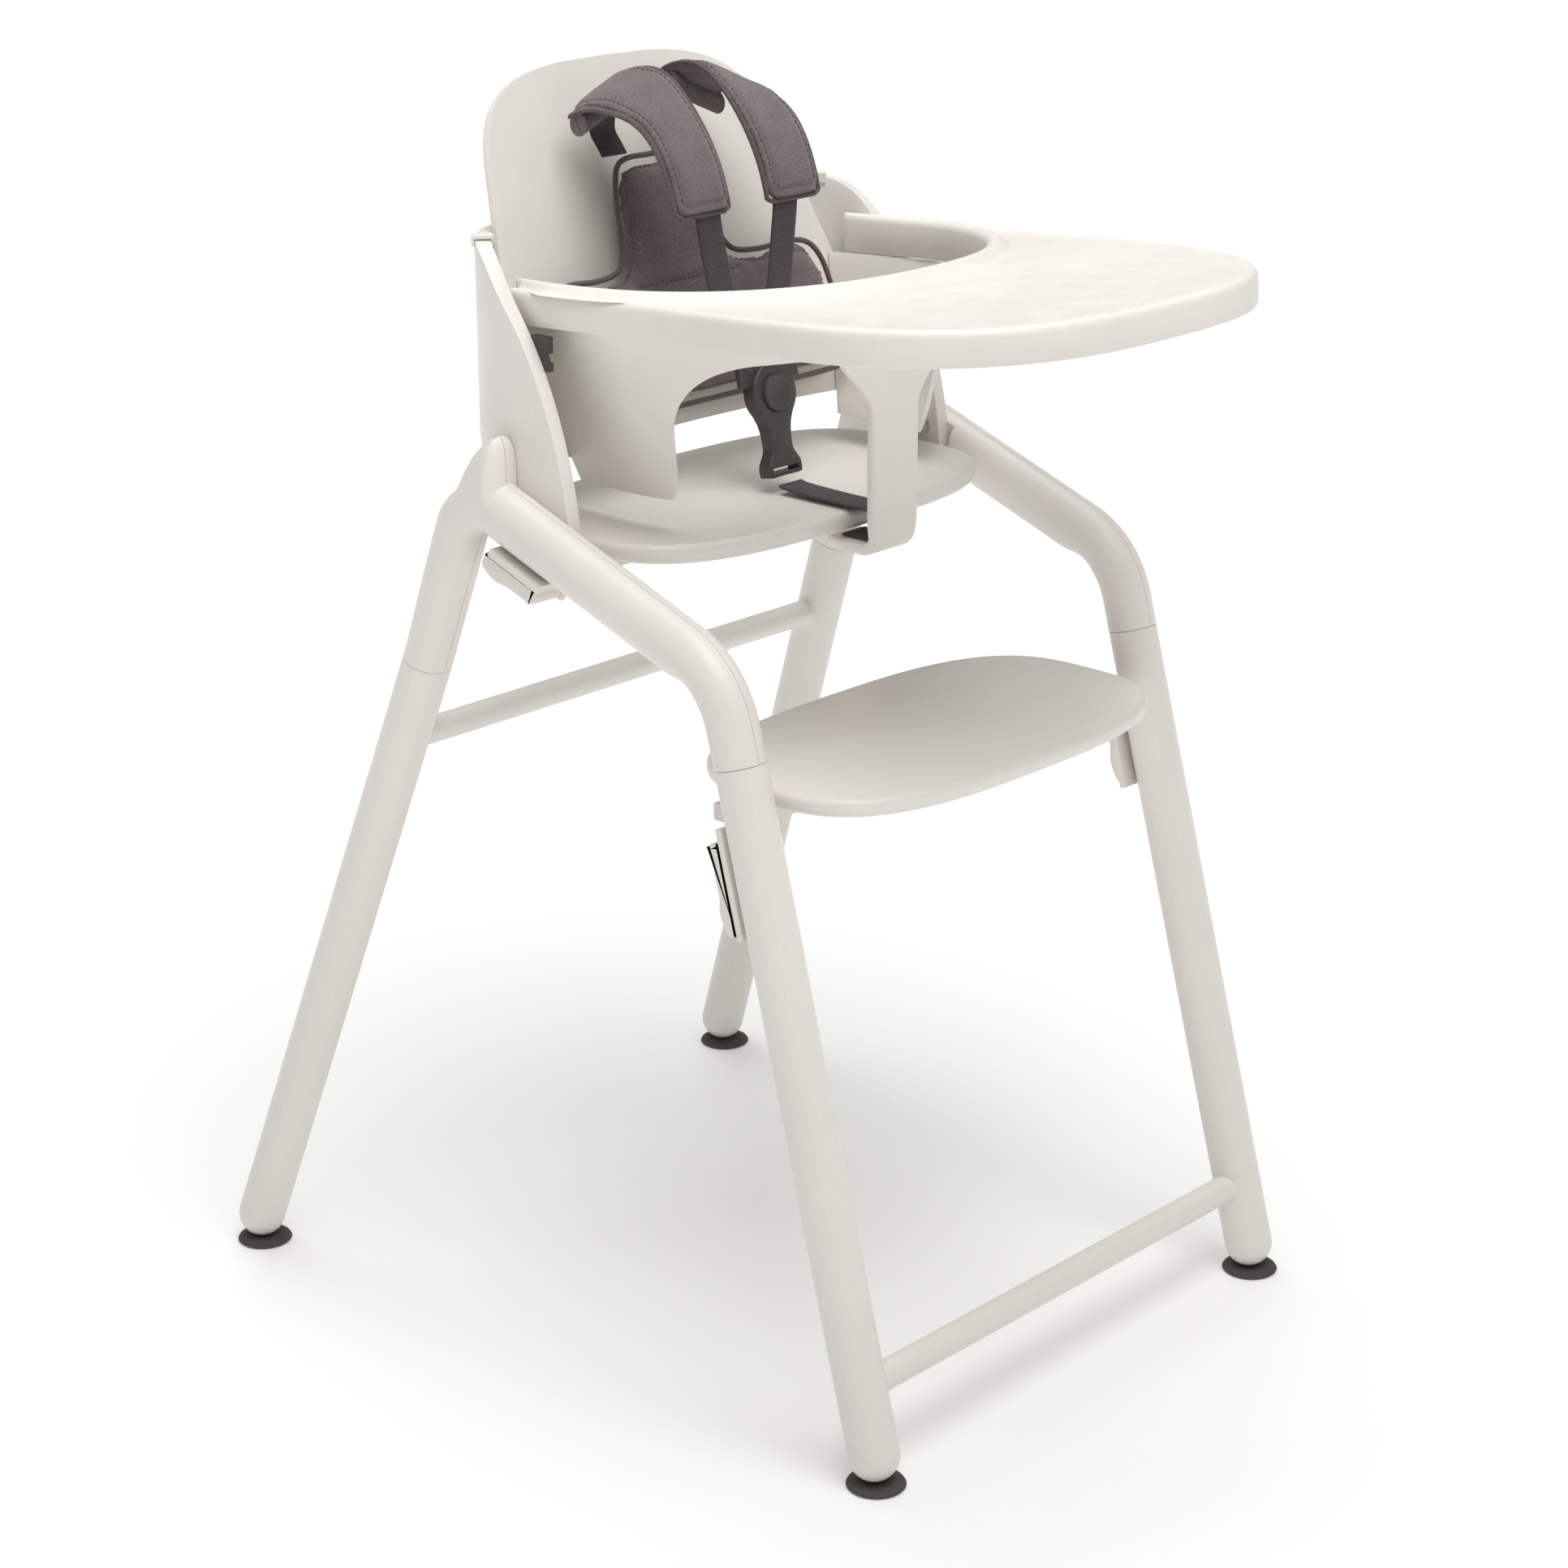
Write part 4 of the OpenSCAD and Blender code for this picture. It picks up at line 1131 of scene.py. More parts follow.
@dataclass
class Boards:
    """Seat board, footrest board and the finger levers under them."""

    finishes: Finishes
    lever_half: float = 0.0125

    def build(self) -> None:
        """Builds and dresses the boards and the levers."""
        seat = self.board("seat_board_plywood", 0.185, 0.106, 3.2, 0.035, 0.596, 0.610)
        self.finishes.dress(seat, "painted_wood", Body.SEAT, ["seat_board"])
        foot = self.board("footrest_board_plywood", 0.182, 0.101, 3.0, -0.140, 0.452, 0.465)
        self.finishes.dress(foot, "painted_wood", Body.FOOTREST, ["footrest_board"])
        for side, body in ((Side.RIGHT, Body.SEAT_LEVER_R), (Side.LEFT, Body.SEAT_LEVER_L)):
            lever = self.lever(f"seat_lever_{side.word}_moulded", 0.056, 0.013, self.lever_half,
                               self.seat_place())
            self.finishes.dress(on_side(lever, side), "moulded_plastic", body, [f"seat_lever_{side.word}"])
        for side, body in ((Side.RIGHT, Body.FOOTREST_LEVER_R), (Side.LEFT, Body.FOOTREST_LEVER_L)):
            lever = self.lever(f"footrest_lever_{side.word}_moulded", 0.066, 0.009, self.lever_half - 0.001,
                               self.footrest_place())
            self.finishes.dress(on_side(lever, side), "moulded_plastic", body,
                                [f"footrest_lever_{side.word}"])

    @staticmethod
    def board(name: str, half_w: float, half_d: float, power: float, y: float, z0: float,
              z1: float) -> bpy.types.Object:
        """Oval plywood board with rounded edges."""
        outline = []
        for k in range(180):
            cx, sy = power_curve(2 * math.pi * k / 180, power)
            outline.append(Vector((half_w * cx, half_d * sy, 0)))
        even = evenly(outline, 180, True)
        return plate(name, even, z0, z1, 0.0052, Matrix.Translation((0, y, 0)), 6)

    @staticmethod
    def lever(name: str, length: float, thick: float, half_w: float, place: Matrix) -> bpy.types.Object:
        """Finger lever with a rounded toe and a finger bump, along local +X."""
        t = thick / 2
        heel = [(t - t * math.sin(a), t * math.cos(a)) for a in (math.pi * k / 8 for k in range(9))]
        bump = [(length - 0.030, -t), (length - 0.023, -t - 0.0012), (length - 0.016, -t - 0.0024)]
        toe = [(length - 0.008, -t - 0.001), (length - 0.001, -t * 0.7), (length, 0.0),
               (length - 0.001, t * 0.8), (length - 0.006, t)]
        outline = heel + bump + toe
        curve = spline([Vector((x, y, 0)) for x, y in outline], 6, True)
        turn = Matrix.Rotation(math.pi / 2, 4, "X")
        return plate(name, curve, -half_w, half_w, 0.0015, place @ turn, 4)

    @staticmethod
    def seat_place() -> Matrix:
        """Place of the left seat lever."""
        depth = LEG_RADIUS + 0.005 + 0.0004 + 0.006 + 0.0015 + 0.0065
        return on_arm() @ Matrix.Translation((0.026 - 0.0085, 0, -depth))

    @staticmethod
    def footrest_place() -> Matrix:
        """Place of the left footrest lever."""
        top = FRONT_LEG.at(0.452)
        leg = (Matrix.Translation(top) @ Matrix.Rotation(-FRONT_LEAN, 4, "X")
               @ Matrix.Rotation(math.pi / 2, 4, "Z"))
        behind = LEG_RADIUS + 0.0005 + 0.005 + 0.0015 + 0.0045
        return (leg @ Matrix.Translation((behind, 0, -0.0095)) @ Matrix.Rotation(math.pi / 2, 4, "Y")
                @ Matrix.Scale(-1, 4, (0, 0, 1)))


# ---------------------------------------------------------------- baby set


@dataclass
class BabySet:
    """Moulded shell, ring and crotch post."""

    finishes: Finishes
    wall: float = 0.004
    mid_z: float = 0.850
    face_y: float = 0.164
    recline: float = 0.37
    curve: float = 0.6
    top_z: float = 0.904
    bottom_z: float = 0.648
    round_z: float = 0.832
    round_power: float = 3.4
    half_w: float = 0.145
    flare: float = 0.24
    ring_half_w: float = 0.172
    ring_lean: float = 0.28
    ring_y: float = 0.020
    ring_front: float = 0.116
    ring_rear: float = 0.173
    ring_ends: Pair = (0.632, 0.747)
    ring_wing_z: float = 0.664
    ring_arch: float = 0.066
    post_half: float = 0.024

    def build(self) -> None:
        """Builds and dresses the three moulded parts."""
        for node, make in (("back_shell", self.shell), ("ring", self.ring), ("crotch_post", self.post)):
            self.finishes.dress(make(f"{node}_moulded"), "moulded_plastic", Body.BABY_SET, [node])

    def face(self, x: float, z: float) -> float:
        """Depth of the shell's front face."""
        return self.face_y + self.recline * (z - self.mid_z) - self.curve * x * x

    def width(self, z: float) -> float:
        """Half width of the shell at a height."""
        up = max(0.0, (z - self.round_z) / (self.top_z - self.round_z))
        return min(0.173, self.half_w + self.flare * (self.mid_z - z)) * (1 - up**self.round_power) ** (
            1 / self.round_power)

    def shell(self, name: str, rows: int = 34, cols: int = 60) -> bpy.types.Object:
        """Reclined shell with a rounded top."""
        heights = [mix(self.bottom_z, self.round_z, k / rows) for k in range(rows + 1)]
        heights += [mix(self.round_z, self.top_z, math.sin(math.pi / 2 * k / 15.3)) for k in range(1, 16)]
        grid_rows = []
        for z in heights:
            w = self.width(z) - 0.0005
            grid_rows.append([Vector((w * t, self.face(w * t, z) + self.wall / 2, z))
                              for t in (2 * c / cols - 1 for c in range(cols + 1))])
        return thickened(grid(name, grid_rows), self.wall, 0.0016, 0.0)

    def ring_low(self, y: float) -> float:
        """Lower edge of the ring: low at the sides, with a round corner, then up round each leg hole."""
        up = 1 - min(1.0, max(0.0, (-0.020 - y) / 0.050))
        corner = mix(self.ring_ends[0], self.ring_wing_z, smooth((-0.012 - y) / 0.012))
        return corner + self.ring_arch * math.sqrt(1 - up * up)

    def ring_w(self, z: float) -> float:
        """Half width of the ring's middle line at a height."""
        return self.ring_half_w - self.wall / 2 - self.ring_lean * (0.755 - z)

    def ring(self, name: str, cols: int = 220, rows: int = 12) -> bpy.types.Object:
        """Ring round the child, from one side of the shell to the other.

        Args:
            name: Object name.
            cols: Columns round the ring.
            rows: Rows from the lower to the upper edge.

        Returns:
            The linked object.
        """
        columns = []
        for c in range(cols + 1):
            column = []
            for r in range(rows + 1):
                z_end = mix(*self.ring_ends, r / rows)
                y_end = self.face(self.ring_w(z_end) - 0.004, z_end) - 0.001 - self.ring_y
                end = math.asin((y_end / self.ring_rear) ** 2)
                a = mix(-math.pi - end, end, c / cols)
                rear = math.sin(a) > 0
                px, py = power_curve(a, 4.0 if rear else 2.0)
                depth = self.ring_rear if rear else self.ring_front
                y = self.ring_y + (depth - self.wall / 2) * py
                z = mix(self.ring_low(y), tray_plane(y) - 0.025, r / rows)
                column.append(Vector((self.ring_w(z) * px, y, z)))
            columns.append(column)
        return thickened(grid(name, columns), self.wall, 0.0017, 0.0)

    def post(self, name: str) -> bpy.types.Object:
        """Post between the legs, flared where it meets the ring, hooked at its foot.

        Args:
            name: Object name.

        Returns:
            The linked object.
        """
        thick, hook, hook_z, top_z, sill, flare = 0.008, 0.015, 0.598, 0.750, 0.034, 0.034
        face = -(self.ring_front - self.ring_y) - 0.0003
        y = face - thick / 2
        line = [(y, mix(top_z, hook_z, k / 30)) for k in range(31)]
        r, centre = hook - thick / 2, face - thick + hook
        line += [(centre - r * math.cos(a), hook_z - r * math.sin(a))
                 for a in (math.pi / 2 * k / 10 for k in range(1, 11))]
        line += [(centre + sill * k / 6, hook_z - r) for k in range(1, 7)]
        path = [Vector((0, p[0], p[1])) for p in line]
        rings = []
        for i, p in enumerate(path):
            ahead = (path[min(i + 1, len(path) - 1)] - path[max(i - 1, 0)]).normalized()
            out = ahead.cross(Vector((1, 0, 0)))
            half = self.post_half + flare * smooth((p.z - 0.688) / 0.048)
            left = len(path) - 1 - i
            half -= 0.004 * (1 - smooth(left / 3)) if p.z < hook_z else 0.0
            half -= 0.0022 * smooth((hook_z + 0.012 - p.z) / 0.020)
            section = rounded_box(half, thick / 2, 0.003)
            rings.append([p + Vector((1, 0, 0)) * a + out * b for a, b in section])
        return loft(name, rings, False, 50)


def tray_plane(y: float) -> float:
    """Height of the tray's deck plane."""
    return 0.7778 - 0.056 * y


def rounded_box(half_a: float, half_b: float, radius: float, steps: int = 4) -> list[Pair]:
    """Outline of a rectangle with rounded corners.

    Args:
        half_a: Half the first side.
        half_b: Half the second side.
        radius: Corner radius.
        steps: Steps of each corner.

    Returns:
        Anticlockwise points.
    """
    out = []
    for corner, (sa, sb) in enumerate(((1, 1), (-1, 1), (-1, -1), (1, -1))):
        for k in range(steps + 1):
            t = math.pi / 2 * (corner + k / steps)
            out.append((sa * (half_a - radius) + radius * math.cos(t),
                        sb * (half_b - radius) + radius * math.sin(t)))
    return out


@dataclass
class Tray:
    """Tray with a raised lip round its cut-out and a skirt round its edge."""

    finishes: Finishes
    half_w: float = 0.190
    rear_half: float = 0.184
    wide_y: float = -0.150
    front: float = 0.342
    rear_y: float = 0.098
    cut_half: float = 0.166
    cut_y: float = 0.038
    cut_depth: float = 0.160
    skirt: float = 0.024
    lip: float = 0.0052
    roll_room: float = 0.036

    def build(self) -> None:
        """Builds and dresses the tray."""
        self.finishes.dress(self.top("tray_top_moulded"), "moulded_plastic", Body.TRAY, ["tray_top"])

    def outer(self) -> list[Vector]:
        """Outline from the right rear end round the front to the left rear end."""
        corner = ((0.007, 0.0), (0.002, 0.003), (0.0, 0.010))
        side = [Vector((-self.rear_half + dx, self.rear_y - dy, 0)) for dx, dy in corner]
        for k in range(1, 24):
            y = mix(self.rear_y - 0.010, self.wide_y, k / 24)
            side.append(Vector((-mix(self.half_w, self.rear_half, smooth((y - self.wide_y) / 0.17)), y, 0)))
        front = []
        for k in range(97):
            cx, sy = power_curve(math.pi + math.pi * k / 96, 2.7)
            front.append(Vector((self.half_w * cx, self.wide_y + (self.front + self.wide_y) * sy, 0)))
        return side + front + [Vector((-p.x, p.y, 0)) for p in reversed(side)]

    def inner(self) -> list[Vector]:
        """Cut-out from its right rear end round to its left rear end."""
        corner = ((-0.004, 0.0), (-0.0005, 0.002), (0.001, 0.008), (0.0, 0.030))
        side = [Vector((-self.cut_half + dx, self.rear_y - dy, 0)) for dx, dy in corner]
        front = []
        for k in range(97):
            cx, sy = power_curve(math.pi + math.pi * k / 96, 2.3)
            front.append(Vector((self.cut_half * cx, self.cut_y + self.cut_depth * sy, 0)))
        return side + front + [Vector((-p.x, p.y, 0)) for p in reversed(side)]

    def top(self, name: str, count: int = 260) -> bpy.types.Object:
        """Deck, skirt and lip as one closed moulding.

        Args:
            name: Object name.
            count: Sections round the tray.

        Returns:
            The linked object.
        """
        outer, inner = evenly(self.outer(), count), evenly(self.inner(), count)
        low = -self.skirt
        # one section: whether it counts from the outer edge, distance from that edge, height
        across: list[tuple[bool, float, float]] = [
            (True, 0.0030, low + 0.0006), (True, 0.0020, low), (True, 0.0008, low), (True, 0.0, low + 0.001),
            (True, 0.0, -0.0060), (True, 0.0006, -0.0034), (True, 0.0020, -0.0014), (True, 0.0042, -0.0003),
            (True, 0.0070, 0.0), (True, 0.0095, -0.0004), (True, 0.0120, -0.0010),
            (False, 0.0215, -0.0010), (False, 0.0180, -0.0004), (False, 0.0150, 0.0010),
            (False, 0.0125, 0.0028),
            (False, 0.0100, self.lip - 0.0004), (False, 0.0070, self.lip), (False, 0.0040, self.lip - 0.0006),
            (False, 0.0015, self.lip - 0.0022), (False, 0.0, self.lip - 0.0055), (False, 0.0, low + 0.001),
            (False, 0.0008, low), (False, 0.0026, low), (False, 0.0034, low + 0.0006),
            (False, 0.0034, -0.0050),
            (True, 0.0030, -0.0050),
        ]
        lines = [inset(outer if from_outer else inner, d if from_outer else -d, False)
                 for from_outer, d, _ in across]
        for i, (out, cut_edge) in enumerate(zip(outer, inner)):
            squeeze = min(1.0, (out - cut_edge).length / self.roll_room)
            for line, (from_outer, _, _) in zip(lines, across):
                line[i] = (out if from_outer else cut_edge).lerp(line[i], squeeze)
        place = Matrix.Translation((0, 0, tray_plane(0))) @ Matrix.Rotation(-math.atan(0.056), 4, "X")
        rings = [[place @ Vector((line[i].x, line[i].y, z)) for line, (_, _, z) in zip(lines, across)]
                 for i in range(count)]
        return loft(name, rings, False, 50)


# ---------------------------------------------------------------- harness and pads


def puffed(piece: bpy.types.Object, voxel: float, pressure: float, cap: float,
           frames: int = 20) -> bpy.types.Object:
    """Stuffs a closed shape by a cloth simulation from inside.

    Args:
        piece: Closed mesh, a little slimmer than the pad.
        voxel: Size of the even mesh.
        pressure: Pressure inside.
        cap: Farthest that a point may move.
        frames: Frames of the simulation.

    Returns:
        The same object, with the result applied.
    """
    even = piece.modifiers.new("even", "REMESH")
    even.mode = "VOXEL"
    even.voxel_size = voxel
    evaluated(piece)
    start = [v.co.copy() for v in piece.data.vertices]
    cloth = piece.modifiers.new("stuffing", "CLOTH")
    cloth.settings.use_pressure = True
    cloth.settings.uniform_pressure_force = pressure
    cloth.settings.effector_weights.gravity = 0
    cloth.settings.mass = 0.25
    scene = bpy.context.scene
    for f in range(1, frames + 1):
        scene.frame_set(f)
    evaluated(piece)
    scene.frame_set(1)
    for v, s in zip(piece.data.vertices, start):
        move = v.co - s
        if move.length > cap:
            v.co = s + move * (cap / move.length)
    soften = piece.modifiers.new("soften", "SMOOTH")
    soften.iterations = 4
    soften.factor = 0.5
    fine = piece.modifiers.new("fine", "SUBSURF")
    fine.levels = fine.render_levels = 1
    evaluated(piece)
    piece.data.shade_smooth()
    return piece


def nearest_on(line: Sequence[Pair], a: float, b: float) -> float:
    """Distance from a plane point to the nearest of a closely spaced row of points."""
    return math.sqrt(min((p[0] - a) ** 2 + (p[1] - b) ** 2 for p in line))


def seamed(piece: bpy.types.Object, flat: Callable[[Vector], tuple[float, float, float]],
           inward: Callable[[Vector], Vector], seams: Sequence[Sequence[Pair]], depth: float,
           width: float) -> bpy.types.Object:
    """Presses sewn seams into the front of a pad and stores the fabric's own coordinates.

    Args:
        piece: Stuffed pad.
        flat: Gives a point's place across, along and above the fabric.
        inward: Gives the direction into the pad at a point.
        seams: Seam lines in the flat fabric.
        depth: Depth of a seam.
        width: Half width of a seam.

    Returns:
        The same object.
    """
    rows = [Vector(flat(v.co)) for v in piece.data.vertices]
    line = [p for seam in seams for p in seam]
    for v, place in zip(piece.data.vertices, rows):
        into = inward(v.co)
        if v.normal.dot(into) > 0.1:
            continue
        d = nearest_on(line, place.x, place.y)
        if d < 3 * width:
            v.co += into * depth * math.exp(-((d / width) ** 2))
    weave = piece.data.attributes.new("weave", "FLOAT_VECTOR", "POINT")
    weave.data.foreach_set("vector", [c for p in rows for c in p])
    return piece


def stitches(name: str, spots: Sequence[tuple[Vector, Vector]], length: float = 0.0028, pitch: float = 0.0045,
             radius: float = 0.00045) -> bpy.types.Object:
    """Row of short stitches.

    Args:
        name: Object name.
        spots: Points on the fabric with their outward normals.
        length: Length of a stitch.
        pitch: Distance between stitches.
        radius: Thickness of the thread.

    Returns:
        The linked object.
    """
    total = sum((b[0] - a[0]).length for a, b in zip(spots, spots[1:]))
    line = evenly([p for p, _ in spots], max(3, int(total / pitch) * 4))
    pieces = []
    for k in range(0, len(line) - 4, 4):
        a, b = line[k], line[k + 4]
        mid = a.lerp(b, 0.5)
        normal = min(spots, key=lambda s: (s[0] - mid).length_squared)[1]
        reach = length / (2 * max((b - a).length, 1e-6))
        ends = [mid.lerp(a, 2 * reach), mid.lerp(b, 2 * reach)]
        out = normal * radius
        path = [ends[0] - out, ends[0].lerp(mid, 0.5) + out, mid + out * 1.2,
                ends[1].lerp(mid, 0.5) + out, ends[1] - out]
        pieces.append(tube(f"{name}_{k}", path, radius, False, 6, normal))
    return join(name, pieces)


@dataclass
class BackPad:
    """Quilted back pad with bound edges."""

    finishes: Finishes
    origin: Pair = (0.119, 0.800)
    recline: float = math.atan(0.37)
    curve: float = 0.6
    middle: float = 0.0055
    core: float = 0.0042
    binding: float = 0.0021
    seam_inset: float = 0.0085

    def build(self) -> None:
        """Builds and dresses the pad, its binding and its stitches."""
        half = [(0.0, 0.042), (0.018, 0.042), (0.031, 0.038), (0.038, 0.027), (0.043, 0.010), (0.047, -0.010),
                (0.052, -0.028), (0.062, -0.038), (0.085, -0.041), (0.112, -0.040), (0.130, -0.044),
                (0.139, -0.058), (0.142, -0.085), (0.141, -0.115), (0.136, -0.134), (0.120, -0.140),
                (0.0, -0.140)]
        loop = [Vector((-x, s, 0)) for x, s in half] + [Vector((x, s, 0)) for x, s in reversed(half[1:-1])]
        outline = evenly(spline(loop, 8, True), 220, True)
        slim = inset(outline, 0.0015)
        rings = [[self.world(p.x, p.y, depth) for p in slim] for depth in (-self.core, self.core)]
        pad = puffed(loft("back_pad_quilt", rings), 0.0045, 4.0, 0.0055)
        seam = inset(outline, self.seam_inset)
        across = [[(mix(-0.050, 0.050, k / 50), -0.052) for k in range(51)]]
        lines = [[(p.x, p.y) for p in seam]] + across
        seamed(pad, self.flat, lambda _: self.inward(), lines, 0.0022, 0.0024)
        self.finishes.dress(pad, "melange_fabric", Body.BABY_SET, ["back_pad"])
        edge = [self.world(p.x, p.y, 0.0) for p in outline]
        cord = tube("back_pad_binding", edge, self.binding, True, 12)
        self.weave(cord)
        self.finishes.dress(cord, "melange_fabric", Body.BABY_SET, material=self.finishes.binding)
        tree = BVHTree.FromObject(pad, bpy.context.evaluated_depsgraph_get())
        for k, line in enumerate(lines):
            spots = self.on_front(tree, line + line[:1] if k == 0 else line)
            self.finishes.dress(stitches(f"back_pad_stitches_{k}", spots), "webbing", Body.BABY_SET,
                                material=self.finishes.thread)

    def on_front(self, tree: BVHTree, line: Sequence[Pair]) -> list[tuple[Vector, Vector]]:
        """Points of a seam on the front of the pad, with normals."""
        out = []
        for x, s in line:
            hit = tree.ray_cast(self.world(x, s, -0.05), self.inward())
            if hit[0] is not None:
                out.append((hit[0], hit[1]))
        return out

    def world(self, x: float, s: float, depth: float) -> Vector:
        """Point of the pad from its place across, along and into the fabric."""
        c, k = math.cos(self.recline), math.sin(self.recline)
        d = self.middle + depth - self.curve * x * x
        return Vector((x, self.origin[0] + d * c + s * k, self.origin[1] - d * k + s * c))

    def flat(self, p: Vector) -> tuple[float, float, float]:
        """Place of a point across, along and above the fabric."""
        c, k = math.cos(self.recline), math.sin(self.recline)
        y, z = p.y - self.origin[0], p.z - self.origin[1]
        return p.x, y * k + z * c, y * c - z * k

    def inward(self) -> Vector:
        """Direction into the pad."""
        return Vector((0, math.cos(self.recline), -math.sin(self.recline)))

    def weave(self, piece: bpy.types.Object) -> None:
        """Stores the fabric's own coordinates on a piece."""
        layer = piece.data.attributes.new("weave", "FLOAT_VECTOR", "POINT")
        layer.data.foreach_set("vector", [c for v in piece.data.vertices for c in self.flat(v.co)])


@dataclass
class ShoulderPads:
    """Two stuffed shoulder pads that hang over from the shell."""

    finishes: Finishes
    x: float = 0.047
    half_w: float = 0.0270
    core: float = 0.0048
    binding: float = 0.0019
    seam: float = 0.0210
    droop: float = 0.42
    roll_at: Pair = (0.1355, 0.8775)
    roll_radius: float = 0.0085

    def path(self, count: int) -> list[Vector]:
        """Middle line of a pad, from its upper rear end down to its front end."""
        line = bezier([(0.143, 0.883), (0.110, 0.906), (0.052, 0.886), (0.037, 0.812)], 60)
        return evenly([Vector((self.x, y, z)) for y, z in line], count)

    def build(self) -> None:
        """Builds and dresses both pads."""
        for side, seed in ((Side.RIGHT, 0.4), (Side.LEFT, 2.1)):
            line = self.path(60)
            rings = []
            for k, (p, out) in enumerate(zip(line, self.normals(line))):
                from_ends = smooth(k / 3) + smooth((len(line) - 1 - k) / 3)
                section = rounded_box(self.half_w - 0.003 * (2 - from_ends), self.core, 0.0038)
                rings.append([p + Vector((a, 0, 0)) + out * b for a, b in section])
            name = f"shoulder_pad_{side.word}"
            pad = puffed(loft(f"{name}_quilt", rings), 0.0042, 4.0, 0.005)
            table = [(p.copy(), k * (line[1] - line[0]).length) for k, p in enumerate(line)]
            self.creased(pad, line, table, seed)
            last = table[-1][1]
            low, high = 0.006, last - 0.007
            rows = [[(sign * self.seam, mix(low, high, k / 90)) for k in range(91)] for sign in (-1, 1)]
            ends = [[(mix(-self.seam, self.seam, k / 30), high) for k in range(31)]]
            for v_out in (1, -1):
                self.press(pad, line, table, rows + ends, v_out)
            self.coordinates(pad, line, table)
            tree = BVHTree.FromObject(pad, bpy.context.evaluated_depsgraph_get())
            spots = [self.on_top(tree, line, table, row) for row in rows]
            loop = self.edge_loop(line)
            cord = tube(f"{name}_binding", loop, self.binding, True, 12, Vector((0.02, 1, 0.3)))
            self.coordinates(cord, line, table)
            threads = [stitches(f"{name}_stitches_{k}", s) for k, s in enumerate(spots)]
            bar = [Vector((self.x + self.half_w * k / 9, *self.roll_at)) for k in range(-8, 9)]
            roll = tube(f"{name}_roll", bar, self.roll_radius, False, 20)
            self.coordinates(roll, line, table)
            for piece in (pad, cord, roll, *threads):
                self.drooped(piece)
            self.finishes.dress(on_side(roll, side), "melange_fabric", Body.BABY_SET)
            self.finishes.dress(on_side(pad, side), "melange_fabric", Body.BABY_SET, [name])
            self.finishes.dress(on_side(cord, side), "melange_fabric", Body.BABY_SET,
                                material=self.finishes.binding)
            for thread in threads:
                self.finishes.dress(on_side(thread, side), "webbing", Body.BABY_SET,
                                    material=self.finishes.thread)

    def drooped(self, piece: bpy.types.Object) -> None:
        """Lowers the outer side of the rear half of a pad, as it lies over the shoulder."""
        for v in piece.data.vertices:
            v.co.z -= self.droop * smooth((v.co.y - 0.050) / 0.060) * (v.co.x - self.x)
        piece.data.update()

    @staticmethod
    def normals(line: Sequence[Vector]) -> list[Vector]:
        """Outward normals of the middle line in the side plane."""
        out = []
        for i in range(len(line)):
            d = (line[min(i + 1, len(line) - 1)] - line[max(i - 1, 0)]).normalized()
            out.append(Vector((0, -d.z, d.y)) * -1)
        return out

    def nearest(self, p: Vector, line: Sequence[Vector]) -> int:
        """Number of the nearest point of the middle line."""
        return min(range(len(line)), key=lambda k: (line[k].y - p.y) ** 2 + (line[k].z - p.z) ** 2)

    def creased(self, pad: bpy.types.Object, line: Sequence[Vector], table: Sequence[tuple[Vector, float]],
                seed: float) -> None:
        """Soft wrinkles across the pad where it bends over the top."""
        normals = self.normals(line)
        for v in pad.data.vertices:
            k = self.nearest(v.co, line)
            s = table[k][1]
            bend = math.exp(-(((s - 0.045) / 0.030) ** 2))
            a = (v.co.x - self.x) / self.half_w
            fine = math.sin(s / 0.0062 + seed + 1.3 * a)
            wave = 0.6 * fine + 0.4 * math.sin(s / 0.011 + 2 * seed - 2.0 * a)
            v.co += normals[k] * 0.0011 * bend * wave * (1 - 0.5 * a * a)

    def press(self, pad: bpy.types.Object, line: Sequence[Vector], table: Sequence[tuple[Vector, float]],
              rows: Sequence[Sequence[Pair]], side: int) -> None:
        """Presses the seams into one face of the pad."""
        normals = self.normals(line)
        spots = [p for row in rows for p in row]
        for v in pad.data.vertices:
            k = self.nearest(v.co, line)
            out = normals[k] * side
            if v.normal.dot(out) < 0.1:
                continue
            d = nearest_on(spots, v.co.x - self.x, table[k][1])
            if d < 0.006:
                v.co -= out * 0.0016 * math.exp(-((d / 0.0022) ** 2))

    def coordinates(self, piece: bpy.types.Object, line: Sequence[Vector],
                    table: Sequence[tuple[Vector, float]]) -> None:
        """Stores the fabric's own coordinates on a piece."""
        values: list[float] = []
        for v in piece.data.vertices:
            k = self.nearest(v.co, line)
            near = line[max(0, k - 1)], line[min(len(line) - 1, k + 1)]
            along = (near[1] - near[0]).normalized()
            values += [v.co.x, table[k][1] + (v.co - line[k]).dot(along), 0.0]
        layer = piece.data.attributes.new("weave", "FLOAT_VECTOR", "POINT")
        layer.data.foreach_set("vector", values)

    def on_top(self, tree: BVHTree, line: Sequence[Vector], table: Sequence[tuple[Vector, float]],
               row: Sequence[Pair]) -> list[tuple[Vector, Vector]]:
        """Points of a seam on the outer face, with normals."""
        normals = self.normals(line)
        out = []
        for a, s in row:
            k = min(range(len(table)), key=lambda i: abs(table[i][1] - s))
            near = line[max(0, k - 1)], line[min(len(line) - 1, k + 1)]
            p = line[k] + (near[1] - near[0]).normalized() * (s - table[k][1]) + Vector((a, 0, 0))
            hit = tree.ray_cast(p + normals[k] * 0.03, -normals[k])
            if hit[0] is not None:
                out.append((hit[0], hit[1]))
        return out

